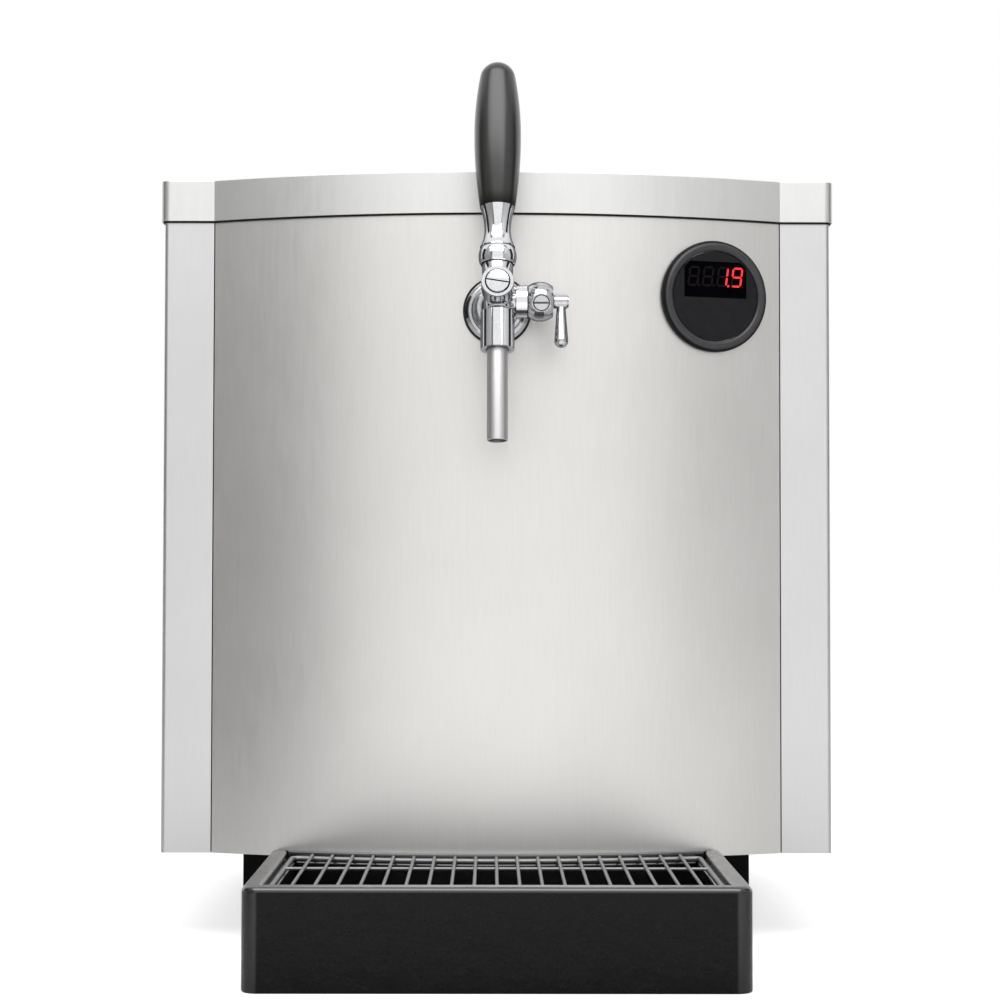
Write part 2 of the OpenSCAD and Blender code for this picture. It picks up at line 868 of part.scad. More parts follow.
function bar_ends(bar) = [
    [[0, digit_h], [digit_w, digit_h]],
    [[digit_w, digit_h], [digit_w, digit_h / 2]],
    [[digit_w, digit_h / 2], [digit_w, 0]],
    [[digit_w, 0], [0, 0]],
    [[0, 0], [0, digit_h / 2]],
    [[0, digit_h / 2], [0, digit_h]],
    [[0, digit_h / 2], [digit_w, digit_h / 2]]
][bar];
function leaning(p) = [p.x + (p.y - digit_h / 2) * tan(digit_lean), p.y];

module digit_bar(bar) {
    if (bar == point_bar) {
        translate(leaning([digit_w + point_off, 0])) circle(point_r, $fn = 24);
    } else {
        ends = bar_ends(bar);
        way = (ends[1] - ends[0]) / norm(ends[1] - ends[0]);
        side = bar_half * [-way.y, way.x];
        from = ends[0] + bar_space * way;
        to = ends[1] - bar_space * way;
        in = bar_half * way;
        polygon([
            for (p = [from, from + in + side, to - in + side, to, to - in - side, from + in - side]) leaning(p)
        ]);
    }
}

function is_lit(digit, bar) = len(search(bar, lit_bars[digit])) > 0;

module segments(lit) {
    at_display() translate([-digit_step * digit_count / 2 + (digit_step - digit_w) / 2, -window_front,
        window_up - digit_h / 2]) rotate([90, 0, 0]) linear_extrude(segment_t)
        for (digit = [0 : digit_count - 1], bar = [0 : point_bar])
            if (is_lit(digit, bar) == lit) translate([digit * digit_step, 0]) digit_bar(bar);
}

module segments_lit() {
    color("red") segments(true);
}

module segments_dark() {
    color("maroon") segments(false);
}

// The drip tray is a basin with a skirt around it, and its rear follows the curved panel
tray_front = panel_y - tray_gap - tray_d;
tray_half = tray_w / 2;
tray_round = 8;
inner_round = 2;
tray_skin = 2.6;
rim_w = 12;
rear_rim = 8;
ledge_w = 6;
basin_floor = 5;
frame_d = 3.3;
weld = 0.4;
wire_drop = 1;
frame_low = tray_h - wire_drop - wire_d - frame_d + weld;
ledge_z = frame_low - run_gap;
horn_w = 6;
horn_y = arc_y - sqrt(pow(arc_r + tray_gap, 2) - pow(tray_half - horn_w, 2));

module tray_outline(inset, rear_inset) {
    difference() {
        round_rect(-tray_half + inset, tray_front + inset, tray_half - inset, horn_y - rear_inset + tray_round,
            max(tray_round - inset, inner_round));
        translate([-tray_half, horn_y - rear_inset]) square([tray_w, tray_w]);
        translate([0, arc_y]) circle(arc_r + tray_gap + rear_inset, $fn = 360);
    }
}

module drip_tray() {
    basin = rim_w + ledge_w;
    rear_basin = rear_rim + ledge_w;
    color("black") difference() {
        linear_extrude(tray_h) tray_outline(0, 0);
        translate([0, 0, ledge_z]) linear_extrude(tray_h) tray_outline(rim_w, rear_rim);
        translate([0, 0, basin_floor]) linear_extrude(tray_h) tray_outline(basin, rear_basin);
        translate([0, 0, -past]) linear_extrude(ledge_z - tray_skin + past) difference() {
            tray_outline(tray_skin, tray_skin);
            tray_outline(basin - tray_skin, rear_basin - tray_skin);
        }
    }
}

// The grille: a frame of thick wire with thin wires welded across it
grille_play = 2;
grille_half = tray_half - rim_w - grille_play - frame_d / 2;
grille_front = tray_front + rim_w + grille_play + frame_d / 2;
grille_rear_r = arc_r + tray_gap + rear_rim + grille_play + frame_d / 2;
frame_z = frame_low + frame_d / 2;
wire_z = frame_low + frame_d + wire_d / 2 - weld;
wire_step = 2 * grille_half / (wire_count + 1);
cross_wire_in = 48;
function grille_rear(x) = arc_y - sqrt(grille_rear_r * grille_rear_r - x * x);

module drip_grille() {
    wire_past = 1.2;
    frame_r = frame_d / 2;
    side_grow = 0.2;
    side_r = frame_r + side_grow;
    sweep = 2 * asin(grille_half / grille_rear_r);
    side_rear = grille_rear(grille_half);
    cross_y = grille_rear(0) - cross_wire_in;
    color("silver") {
        translate([0, grille_front, frame_z]) rod_x(frame_r, -grille_half, grille_half);
        translate([0, cross_y, wire_z - wire_d + weld]) rod_x(wire_d / 2, -grille_half, grille_half);
        for (x = [-grille_half, grille_half]) translate([x, 0, frame_z])
            rod_y(side_r, grille_front - side_r, side_rear + side_r);
        translate([0, arc_y, frame_z]) rotate([0, 0, -90 - sweep / 2])
            rotate_extrude(angle = sweep, $fn = 360)
            translate([grille_rear_r, 0]) circle(frame_r, $fn = 32);
        for (i = [1 : wire_count]) translate([-grille_half + i * wire_step, 0, wire_z])
            rod_y(wire_d / 2, grille_front - wire_past, grille_rear(-grille_half + i * wire_step));
    }
}

// The condenser, its fan and the compressor on the base pan
copper_r = 4;
capillary_r = 1.5;
copper_bend = 8;
condenser_half = 105;
condenser_d = 40;
condenser_h = 200;
condenser_clear = 10;
condenser_tubes = 5;
tube_step = condenser_h / condenser_tubes;
tube_low = floor_z + tube_step / 2;
tube_high = floor_z + condenser_h - tube_step / 2;
condenser_rear = back_y - sheet_t - condenser_clear;
condenser_front = condenser_rear - condenser_d;
condenser_left = condenser_x - condenser_half;
condenser_mid = (condenser_front + condenser_rear) / 2;
shroud_d = 32;
shroud_t = 2;
shroud_front = condenser_front - shroud_d;
fan_z = floor_z + condenser_h / 2;
fan_hole_r = 85;
fan_shaft_r = 3;
compressor_x = -110;
compressor_back = 130;
compressor_y = rear_y - compressor_back;
compressor_r = 65;
seam_r = 68;
mount_h = 20;
mount_x = 70;
mount_y = 45;
plate_t = 3;
shell_low = floor_z + mount_h + plate_t;
shell_h = 100;
dome_h = 35;
shell_top = shell_low + shell_h + dome_h;
drier_out = 25;
drier_x = condenser_left - drier_out;

// The insulated cooling block behind the tap, in front of the compressor
foam_half = 100;
foam_set = 26;
foam_front = pillar_y + foam_set;
foam_clear = 12;
foam_rear = compressor_y - seam_r - foam_clear;
foam_wall = 25;
foam_drop = 20;
foam_top = under_lid - foam_drop;
block_up = 170;
block_low = floor_z + block_up;
block_front = foam_front + foam_wall;
block_rear = foam_rear - foam_wall;
block_half = foam_half - foam_wall;
hose_r = 6;
line_r = 5;
line_bend = 16;
line_x = 40;
suction_x = -60;
suction_up = 270;
suction_z = floor_z + suction_up;
capillary_up = 330;
capillary_z = floor_z + capillary_up;

module insulation() {
    color("khaki") difference() {
        translate([-foam_half, foam_front, floor_z])
            cube([2 * foam_half, foam_rear - foam_front, foam_top - floor_z]);
        translate([-block_half, block_front, block_low])
            cube([2 * block_half, block_rear - block_front, foam_top]);
        translate([0, 0, tap_z]) rod_y(hose_r + shaft_gap, foam_front - past, block_front + past);
        translate([line_x, 0, inlet_z]) rod_y(line_r + shaft_gap, block_rear - past, foam_rear + past);
        translate([suction_x, 0, suction_z])
            rod_y(copper_r + shaft_gap, block_rear - past, foam_rear + past);
        translate([drier_x, 0, capillary_z])
            rod_y(capillary_r + shaft_gap, block_rear - past, foam_rear + past);
    }
}

module cooling_block() {
    color("lightsteelblue") translate([-block_half, block_front, block_low])
        cube([2 * block_half, block_rear - block_front, foam_top - block_low]);
}

module tap_hose() {
    color("white") translate([0, 0, tap_z]) rod_y(hose_r, panel_y - shank_rear, block_front);
}

module compressor() {
    plate_w = 170;
    plate_d = 120;
    seam_t = 4;
    dome_r = (compressor_r * compressor_r + dome_h * dome_h) / (2 * dome_h);
    color("dimgray") translate([compressor_x, compressor_y, 0]) {
        translate([-plate_w / 2, -plate_d / 2, shell_low - plate_t]) cube([plate_w, plate_d, plate_t]);
        translate([0, 0, shell_low]) rotate_extrude() {
            square([compressor_r, shell_h]);
            translate([0, shell_h / 2]) square([seam_r, seam_t]);
            intersection() {
                translate([0, shell_h + dome_h - dome_r]) circle(dome_r, $fn = 180);
                translate([0, shell_h]) square([compressor_r, dome_h]);
            }
        }
    }
}

module compressor_mounts() {
    mount_r = 10;
    waist_r = 7;
    groove = 5;
    color("black") for (x = [-1, 1], y = [-1, 1])
        translate([compressor_x + x * mount_x, compressor_y + y * mount_y, floor_z])
            rotate_extrude() polygon([
                [0, 0], [mount_r, 0], [mount_r, groove], [waist_r, mount_h / 2], [mount_r, mount_h - groove],
                [mount_r, mount_h], [0, mount_h]
            ]);
}

module condenser() {
    fins = 22;
    fin_t = 1;
    end_t = 2;
    fin_step = (2 * condenser_half - end_t) / (fins - 1);
    color("darkgray") {
        for (i = [0 : fins - 1]) translate([condenser_left + i * fin_step, condenser_front, floor_z])
            cube([i == 0 || i == fins - 1 ? end_t : fin_t, condenser_d, condenser_h]);
        for (i = [0 : condenser_tubes - 1]) translate([0, condenser_mid, tube_low + i * tube_step])
            rod_x(copper_r, condenser_left, condenser_left + 2 * condenser_half);
    }
}

module fan_shroud() {
    color("gray") difference() {
        translate([condenser_left, shroud_front, floor_z])
            cube([2 * condenser_half, shroud_d, condenser_h]);
        translate([condenser_left + shroud_t, shroud_front + shroud_t, floor_z + shroud_t])
            cube([2 * (condenser_half - shroud_t), shroud_d, condenser_h - 2 * shroud_t]);
        translate([condenser_x, 0, fan_z]) rod_y(fan_hole_r, shroud_front - past, condenser_front);
    }
}

motor_stand = 8;
motor_rear = shroud_front - motor_stand;
fan_shaft_reach = 22;
fan_shaft_end = shroud_front + fan_shaft_reach;

module fan_motor() {
    motor_r = 32;
    motor_l = 42;
    arms = 3;
    arm_w = 10;
    arm_t = 6;
    arm_in = 20;
    arm_out = 96;
    pad_past = 3;
    pad_in = fan_hole_r + pad_past;
    color("dimgray") translate([condenser_x, 0, fan_z]) {
        rod_y(motor_r, motor_rear - motor_l, motor_rear);
        rod_y(fan_shaft_r, motor_rear - past, fan_shaft_end);
        for (i = [0 : arms - 1]) rotate([0, i * 360 / arms - 90, 0]) {
            translate([arm_in, motor_rear - arm_t, -arm_w / 2]) cube([arm_out - arm_in, arm_t, arm_w]);
            translate([pad_in, motor_rear - arm_t, -arm_w / 2])
                cube([arm_out - pad_in, shroud_front - motor_rear + arm_t, arm_w]);
        }
    }
}

module fan_rotor() {
    hub_r = 18;
    hub_l = 20;
    blades = 5;
    blade_in = 16;
    blade_out = 78;
    blade_w = 34;
    blade_t = 2;
    pitch = 28;
    hub_clear = 4;
    hub_y = motor_rear + hub_clear;
    color("black") translate([condenser_x, 0, fan_z]) difference() {
        union() {
            rod_y(hub_r, hub_y, hub_y + hub_l);
            for (i = [0 : blades - 1]) rotate([0, i * 360 / blades, 0])
                translate([blade_in, hub_y + hub_l / 2, 0]) rotate([pitch, 0, 0])
                    translate([0, -blade_t / 2, -blade_w / 2])
                        cube([blade_out - blade_in, blade_t, blade_w]);
        }
        rod_y(fan_shaft_r + shaft_gap, hub_y - past, fan_shaft_end + past);
    }
}

drier_up = 40;
drier_h = 90;
drier_low = floor_z + drier_up;
drier_high = drier_low + drier_h;

module filter_drier() {
    drier_r = 10;
    neck_h = 12;
    color("peru") {
        translate([drier_x, condenser_mid, drier_low]) rotate_extrude() polygon([
            [0, 0], [copper_r, 0], [drier_r, neck_h], [drier_r, drier_high - drier_low - neck_h],
            [capillary_r, drier_high - drier_low], [0, drier_high - drier_low]
        ]);
        tube_run([
            [drier_x, condenser_mid, drier_low + past], [drier_x, condenser_mid, tube_low],
            [condenser_left, condenser_mid, tube_low]
        ], copper_r, copper_bend);
    }
}

module capillary() {
    color("peru") tube_run([
        [drier_x, condenser_mid, drier_high], [drier_x, condenser_mid, capillary_z],
        [drier_x, block_rear, capillary_z]
    ], capillary_r, copper_bend);
}

module discharge_line() {
    side_out = 12;
    side_x = condenser_left - side_out;
    port_up = 75;
    low_z = shell_low + port_up;
    color("peru") tube_run([
        [compressor_x + compressor_r, compressor_y, low_z], [side_x, compressor_y, low_z],
        [side_x, compressor_y, tube_high], [side_x, condenser_mid, tube_high],
        [condenser_left, condenser_mid, tube_high]
    ], copper_r, copper_bend);
}

module suction_line() {
    color("peru") tube_run([
        [suction_x, block_rear, suction_z], [suction_x, compressor_y, suction_z],
        [compressor_x, compressor_y, suction_z], [compressor_x, compressor_y, shell_top]
    ], copper_r, copper_bend);
}

fitting_in = 20;

module product_line() {
    turn_y = (foam_rear + back_y) / 2;
    color("white") tube_run([
        [inlet_x, back_y - sheet_t - fitting_in, inlet_z], [inlet_x, turn_y, inlet_z],
        [line_x, turn_y, inlet_z], [line_x, block_rear, inlet_z]
    ], line_r, line_bend);
}

// The push-fit inlet on the rear panel takes a 9.5 mm beer tube
tube_hole_r = 4.9;
sleeve_r = 6.3;
sleeve_l = 8;
collet_lift = 1.6;
inlet_y = back_y + inlet_out;

module inlet_fitting() {
    hex_r = 13;
    hex_t = 6;
    barrel_out_r = 10.5;
    tube_deep = 22;
    color("whitesmoke") translate([inlet_x, 0, inlet_z]) difference() {
        union() {
            rod_y(fitting_r, back_y - sheet_t - fitting_in, back_y + past);
            translate([0, back_y, 0]) rotate([-90, 0, 0]) linear_extrude(hex_t) circle(hex_r, $fn = 6);
            rod_y(barrel_out_r, back_y, inlet_y);
        }
        rod_y(tube_hole_r, inlet_y - tube_deep, inlet_y + past);
        rod_y(sleeve_r + run_gap, inlet_y - sleeve_l - 2 * collet_lift, inlet_y + past);
    }
}

module inlet_nut() {
    nut_r = 13;
    nut_t = 7;
    color("whitesmoke") translate([inlet_x, 0, inlet_z]) difference() {
        translate([0, back_y - sheet_t - nut_t, 0]) rotate([-90, 0, 0])
            linear_extrude(nut_t) circle(nut_r, $fn = 6);
        rod_y(fitting_r + shaft_gap, back_y - sheet_t - nut_t - past, back_y);
    }
}

module inlet_collet() {
    flange_r = 9;
    color("dimgray") translate([inlet_x, 0, inlet_z]) difference() {
        union() {
            rod_y(sleeve_r, inlet_y - sleeve_l, inlet_y + collet_lift + past);
            rod_y(flange_r, inlet_y + collet_lift, inlet_y + collet_out);
        }
        rod_y(tube_hole_r, inlet_y - sleeve_l - past, inlet_y + collet_out + past);
    }
}

knob_deep = 12;

module thermostat() {
    case = [44, 30, 34];
    color("whitesmoke") translate([knob_x, 0, knob_z]) difference() {
        translate([-case.x / 2, back_y - sheet_t - case.y, -case.z / 2]) cube(case);
        rod_y(knob_shaft_r + shaft_gap, back_y - sheet_t - knob_deep - run_gap, back_y);
    }
}

module thermostat_knob() {
    skirt_r = 19;
    skirt_t = 4;
    grip_r = 14;
    grip_t = 16;
    mark_w = 1.6;
    mark_d = 0.8;
    color("black") translate([knob_x, 0, knob_z]) {
        rod_y(knob_shaft_r, back_y - sheet_t - knob_deep, back_y + skirt_t);
        difference() {
            union() {
                rod_y(skirt_r, back_y + run_gap, back_y + skirt_t);
                rod_y(grip_r, back_y + run_gap, back_y + grip_t);
            }
            translate([-mark_w / 2, back_y + grip_t - mark_d, 0])
                cube([mark_w, mark_d + past, grip_r + past]);
        }
    }
}

// The rocker lies in a pocket of its frame and turns on two pins along X
rocker_half = [6.6, 9.4];
rocker_deep = 1.5;
rocker_pivot = back_y - rocker_deep;
rocker_tilt = 8;
pocket_deep = 10;
pin_r = 1.4;
pin_l = 3;

module switch_frame() {
    flange = [31, 25];
    flange_t = 2;
    body_deep = 20;
    fit = 0.1;
    pocket = [rocker_half.x + run_gap, rocker_half.y + 3 * run_gap];
    color("black") translate([switch_x, 0, switch_z]) difference() {
        union() {
            translate([-flange.x / 2, back_y, -flange.y / 2]) cube([flange.x, flange_t, flange.y]);
            translate([-switch_cut.x / 2 + fit, back_y - body_deep, -switch_cut.y / 2 + fit])
                cube([switch_cut.x - 2 * fit, body_deep + past, switch_cut.y - 2 * fit]);
        }
        translate([-pocket.x, back_y + flange_t - pocket_deep, -pocket.y])
            cube([2 * pocket.x, pocket_deep + past, 2 * pocket.y]);
        translate([0, rocker_pivot, 0])
            rod_x(pin_r + shaft_gap, -rocker_half.x - pin_l - run_gap, rocker_half.x + pin_l + run_gap);
    }
}

module rocker() {
    half = rocker_half.y;
    rear = -3;
    crown = 5;
    crest = 3.2;
    color("firebrick") translate([switch_x, rocker_pivot, switch_z]) rotate([rocker_tilt, 0, 0]) {
        translate([-rocker_half.x, 0, 0]) rotate([90, 0, 90]) linear_extrude(2 * rocker_half.x) polygon([
            [rear, -half + past], [rear, half - past], [crown, half], [crest, 0], [crown, -half]
        ]);
        rod_x(pin_r, -rocker_half.x - pin_l, rocker_half.x + pin_l);
    }
}

module power_inlet() {
    flange = [50, 28];
    flange_t = 2.5;
    body_deep = 24;
    fit = 0.1;
    mouth = [24.5, 17];
    mouth_deep = 17;
    pin = [2, 14, 4];
    pin_x = 7;
    pin_rise = 2;
    color("black") translate([power_x, 0, power_z]) {
        difference() {
            union() {
                translate([-flange.x / 2, back_y, -flange.y / 2]) cube([flange.x, flange_t, flange.y]);
                translate([-power_cut.x / 2 + fit, back_y - body_deep, -power_cut.y / 2 + fit])
                    cube([power_cut.x - 2 * fit, body_deep + past, power_cut.y - 2 * fit]);
            }
            translate([-mouth.x / 2, back_y + flange_t - mouth_deep, -mouth.y / 2])
                cube([mouth.x, mouth_deep + past, mouth.y]);
        }
        for (place = [[-pin_x, -pin_rise], [0, pin_rise], [pin_x, -pin_rise]])
            translate([place.x - pin.x / 2, back_y + flange_t - mouth_deep - past, place.y - pin.z / 2])
                cube([pin.x, pin.y + past, pin.z]);
    }
}

base_pan();
plinth();
feet();
left_side();
right_side();
front_panel();
rear_panel();
lid();
lid_screws();
rear_screws();
rosette_gasket();
rosette();
tap_shank();
shank_nut();
coupling_nut();
tap_body();
tap_collar();
front_plug();
spout();
compensator_housing();
compensator_screw();
tap_lever();
tap_handle();
valve_stem();
valve_seal();
flow_lever();
compensator_cone();
bezel();
display_face();
display_window();
segments_lit();
segments_dark();
display_case();
display_nut();
drip_tray();
drip_grille();
insulation();
cooling_block();
compressor();
compressor_mounts();
condenser();
fan_shroud();
fan_motor();
fan_rotor();
filter_drier();
capillary();
discharge_line();
suction_line();
product_line();
tap_hose();
inlet_fitting();
inlet_nut();
inlet_collet();
thermostat();
thermostat_knob();
switch_frame();
rocker();
power_inlet();
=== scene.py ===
from math import acos, asin, cos, pi, radians, sin, sqrt, tan
import bmesh
import bpy
from mathutils import Matrix, Vector


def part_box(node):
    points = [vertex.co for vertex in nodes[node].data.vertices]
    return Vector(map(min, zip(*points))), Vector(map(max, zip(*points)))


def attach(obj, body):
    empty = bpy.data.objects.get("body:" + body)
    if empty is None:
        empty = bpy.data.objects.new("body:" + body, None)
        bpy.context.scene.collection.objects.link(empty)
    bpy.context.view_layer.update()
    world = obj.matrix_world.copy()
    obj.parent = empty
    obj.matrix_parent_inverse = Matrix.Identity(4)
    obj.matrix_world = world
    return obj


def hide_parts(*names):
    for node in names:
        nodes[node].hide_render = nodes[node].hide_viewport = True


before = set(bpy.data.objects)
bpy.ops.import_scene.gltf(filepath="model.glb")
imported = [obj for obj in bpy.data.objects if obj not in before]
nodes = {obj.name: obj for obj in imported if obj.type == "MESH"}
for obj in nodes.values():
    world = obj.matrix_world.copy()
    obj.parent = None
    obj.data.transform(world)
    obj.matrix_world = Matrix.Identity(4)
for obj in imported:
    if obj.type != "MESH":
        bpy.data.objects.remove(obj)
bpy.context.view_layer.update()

scene = bpy.context.scene
scene.view_settings.view_transform = "Standard"


# The camera stands in front of the machine, below half its height, and looks up by two degrees.
# Its place and lens follow the outline of the machine in the 1000 by 1000 frame.
camera_spot = (-0.0044, -1.7636, 0.2431)
camera_pan = radians(-0.23)
camera_tilt = radians(92.21)
camera_roll = radians(0.09)
sensor_wide = 36
lens_length = 85.07
camera_data = bpy.data.cameras.new("front_camera")
camera_data.sensor_fit = "HORIZONTAL"
camera_data.sensor_width = sensor_wide
camera_data.lens = lens_length
camera = bpy.data.objects.new("front_camera", camera_data)
camera_turn = Matrix.Rotation(camera_pan, 4, "Z") @ Matrix.Rotation(camera_tilt, 4, "X")
camera.matrix_world = Matrix.Translation(camera_spot) @ camera_turn @ Matrix.Rotation(camera_roll, 4, "Z")
scene.collection.objects.link(camera)
scene.camera = camera


# The studio: a white surround, a soft box high in front, and a floor that reflections show dimmer nearby.
# Out of view are boards on both sides, grey in front and black beside the tap, and a grey card on the floor.
# They give the metal its darker parts.
surround_level = 0.45
floor_size = 16
floor_grey = 0.8
floor_lift = 0.68
floor_dim_y = -0.34
floor_full_y = -0.72
board_high = 2.6
board_x = 1.25
left_board_y = (-2.2, -0.3)
left_board_grey = 0.42
right_board_y = (-2.1, -0.3)
right_board_grey = 0.75
dark_board_y = (-0.3, 0.2)
dark_board_z = (0.25, 1.3)
dark_grey = 0.02
card_x = (-1.25, -0.55)
card_y = (-1.6, -0.45)
card_z = 0.002
card_grey = 0.25
box_place = (-0.1, -1.17, 1.7)
box_aim = (0, -0.21, 0.55)
box_wide = 2.4
box_high = 1.1
box_power = 24


def feed(target, inputs):
    """Sets a node's inputs by name or number: an output is linked, and a plain value is written there."""
    for name, value in inputs.items():
        if isinstance(value, bpy.types.NodeSocket):
            target.id_data.links.new(value, target.inputs[name])
        else:
            target.inputs[name].default_value = value


def add_node(tree, kind, inputs, **settings):
    """A new node in a tree, with its settings and then its inputs."""
    made = tree.nodes.new(kind)
    for name, value in settings.items():
        setattr(made, name, value)
    feed(made, inputs)
    return made


def maths(operation, first, *others):
    """The output of a Math node on a first output and on outputs or plain values."""
    inputs = dict(enumerate((first, *others)))
    return add_node(first.id_data, "ShaderNodeMath", inputs, operation=operation).outputs[0]


def mapped(value, start, end, **settings):
    """The output of a Map Range node that takes the start range to the end range."""
    inputs = {"Value": value, "From Min": start[0], "From Max": start[1], "To Min": end[0], "To Max": end[1]}
    return add_node(value.id_data, "ShaderNodeMapRange", inputs, **settings).outputs[0]


def object_place(tree):
    return add_node(tree, "ShaderNodeTexCoord", {}).outputs["Object"]


def object_axes(tree):
    return add_node(tree, "ShaderNodeSeparateXYZ", {0: object_place(tree)}).outputs


def new_material(name):
    material = bpy.data.materials.new(name)
    material.use_nodes = True
    return material


def shader_of(material):
    return material.node_tree.nodes["Principled BSDF"]


def new_piece(name, mesh):
    piece = bpy.data.objects.new(name, mesh)
    scene.collection.objects.link(piece)
    return piece


world = bpy.data.worlds.new("white_surround")
scene.world = world
world.use_nodes = True
tree = world.node_tree
tree.nodes.clear()
ray = add_node(tree, "ShaderNodeLightPath", {})
seen = maths("MAXIMUM", ray.outputs["Is Camera Ray"], ray.outputs["Is Glossy Ray"])
seen = maths("MAXIMUM", seen, ray.outputs["Is Transmission Ray"])
level = mapped(seen, (0, 1), (surround_level, 1))
background = add_node(tree, "ShaderNodeBackground", {"Color": (1, 1, 1, 1), "Strength": level})
add_node(tree, "ShaderNodeOutputWorld", {"Surface": background.outputs[0]})


def flat_board(name, width, height, place):
    mesh = bpy.data.meshes.new(name)
    w = width / 2
    h = height / 2
    corners = [place @ Vector(p) for p in ((-w, -h, 0), (w, -h, 0), (w, h, 0), (-w, h, 0))]
    mesh.from_pydata(corners, [], [(0, 1, 2, 3)])
    board = new_piece(name, mesh)
    return board


floor = flat_board("floor", floor_size, floor_size, Matrix())
floor_paint = new_material("pale_floor")
tree = floor_paint.node_tree
tree.nodes.clear()
ray = add_node(tree, "ShaderNodeLightPath", {})
front = mapped(object_axes(tree)["Y"], (floor_dim_y, floor_full_y), (0, 1))
mirrored = maths("MULTIPLY", ray.outputs["Is Glossy Ray"], front)
seen = maths("MAXIMUM", ray.outputs["Is Camera Ray"], mirrored)
glow = add_node(tree, "ShaderNodeEmission", {"Strength": maths("MULTIPLY", seen, floor_lift)})
matt = add_node(tree, "ShaderNodeBsdfDiffuse", {"Color": (floor_grey, floor_grey, floor_grey, 1)})
both = add_node(tree, "ShaderNodeAddShader", {0: matt.outputs[0], 1: glow.outputs[0]})
add_node(tree, "ShaderNodeOutputMaterial", {"Surface": both.outputs[0]})
floor.data.materials.append(floor_paint)

upright = Matrix.Rotation(radians(90), 4, "Z") @ Matrix.Rotation(radians(90), 4, "X")
card_spot = Matrix.Translation((sum(card_x) / 2, sum(card_y) / 2, card_z))
boards = [("floor_card", card_x[1] - card_x[0], card_y[1] - card_y[0], card_spot, card_grey)]
for side, name, (near, far), (low, high), grey in (
        (-1, "left_board", left_board_y, (0, board_high), left_board_grey),
        (-1, "left_dark", dark_board_y, dark_board_z, dark_grey),
        (1, "right_board", right_board_y, (0, board_high), right_board_grey),
        (1, "right_dark", dark_board_y, dark_board_z, dark_grey)):
    board_spot = Matrix.Translation((side * board_x, (near + far) / 2, (low + high) / 2))
    boards.append((name, far - near, high - low, board_spot @ upright, grey))
for name, width, height, place, grey in boards:
    board = flat_board(name, width, height, place)
    board_paint = new_material(name)
    feed(shader_of(board_paint), {"Base Color": (grey, grey, grey, 1), "Roughness": 1})
    board.data.materials.append(board_paint)
    board.visible_camera = False
    board.visible_shadow = name != "floor_card"
    board.visible_diffuse = name != "floor_card"

box_data = bpy.data.lights.new("soft_box", "AREA")
box_data.shape = "RECTANGLE"
box_data.size = box_wide
box_data.size_y = box_high
box_data.energy = box_power
box = bpy.data.objects.new("soft_box", box_data)
box_way = Vector(box_aim) - Vector(box_place)
box.matrix_world = Matrix.Translation(box_place) @ box_way.to_track_quat("-Z", "Y").to_matrix().to_4x4()
box.visible_camera = False
scene.collection.objects.link(box)


# Folded stainless sheet: the sides with their pillars, the bulged front, the rear and the base pan.
# The sheets are brushed upright, so fine streaks run along Z over soft clouds from the rolling.
streak_width = 900
streak_length = 36
streak_detail = 3
streak_rough = 0.65
streak_bump = 0.01
streak_depth = 0.0004
cloud_size = 11
cloud_detail = 2
cloud_share = 0.45
steel_spread = (0.32, 0.68)
mask_spread = (0.3, 0.7)


def new_group(name, kind, inputs, outputs):
    """An empty node group with named sockets, what it is given, and its end node."""
    group = bpy.data.node_groups.new(name, kind)
    for way, sockets in (("INPUT", inputs), ("OUTPUT", outputs)):
        for socket, socket_kind in sockets.items():
            group.interface.new_socket(socket, in_out=way, socket_type="NodeSocket" + socket_kind)
    return group, group.nodes.new("NodeGroupInput").outputs, group.nodes.new("NodeGroupOutput")


def noise(place, scale, detail, rough=0.5):
    """The output of a Noise Texture node."""
    inputs = {"Vector": place, "Scale": scale, "Detail": detail, "Roughness": rough}
    return add_node(place.id_data, "ShaderNodeTexNoise", inputs).outputs[0]


def toned(mask, spread, dark, pale):
    """The output of a Color Ramp node that goes from dark to pale over a mask's spread."""
    ramp = add_node(mask.id_data, "ShaderNodeValToRGB", {"Fac": mask})
    for stop, position, colour in zip(ramp.color_ramp.elements, spread, (dark, pale)):
        stop.position = position
        stop.color = (*colour, 1)
    return ramp.outputs["Color"]


def bumped(height, strength, distance, **under):
    """The output of a Bump node, which may lie over another normal."""
    inputs = {"Height": height, "Strength": strength, "Distance": distance, **under}
    return add_node(height.id_data, "ShaderNodeBump", inputs).outputs[0]


def new_finish(name, effect, sizes):
    """A material with a node group on the object's own coordinates, its shader and the group's outputs."""
    finish = new_material(name)
    inputs = {"Place": object_place(finish.node_tree), **sizes}
    masks = add_node(finish.node_tree, "ShaderNodeGroup", inputs, node_tree=effect)
    return finish, shader_of(finish), masks.outputs


brushed_streaks, given, end = new_group("brushed_streaks", "ShaderNodeTree",
                                        {"Place": "Vector", "Across": "Vector", "Cloud Size": "Float"},
                                        {"Streak": "Float", "Cloud": "Float"})
stretched = add_node(brushed_streaks, "ShaderNodeVectorMath", {0: given["Place"], 1: given["Across"]},
                     operation="MULTIPLY")
feed(end, {"Streak": noise(stretched.outputs[0], 1, streak_detail, streak_rough),
           "Cloud": noise(given["Place"], given["Cloud Size"], cloud_detail)})


def brushed_steel(name, across, dark, pale, rough):
    steel, shader, masks = new_finish(name, brushed_streaks, {"Across": across, "Cloud Size": cloud_size})
    inputs = {"Factor": cloud_share, "A": masks["Streak"], "B": masks["Cloud"]}
    mixed = add_node(steel.node_tree, "ShaderNodeMix", inputs)
    feed(shader, {"Metallic": 1, "Base Color": toned(mixed.outputs["Result"], steel_spread, dark, pale),
                  "Roughness": mapped(masks["Streak"], mask_spread, rough),
                  "Normal": bumped(masks["Streak"], streak_bump, streak_depth)})
    return steel


def dress(material, *names):
    for name in names:
        for slot in nodes[name].material_slots:
            slot.material = material


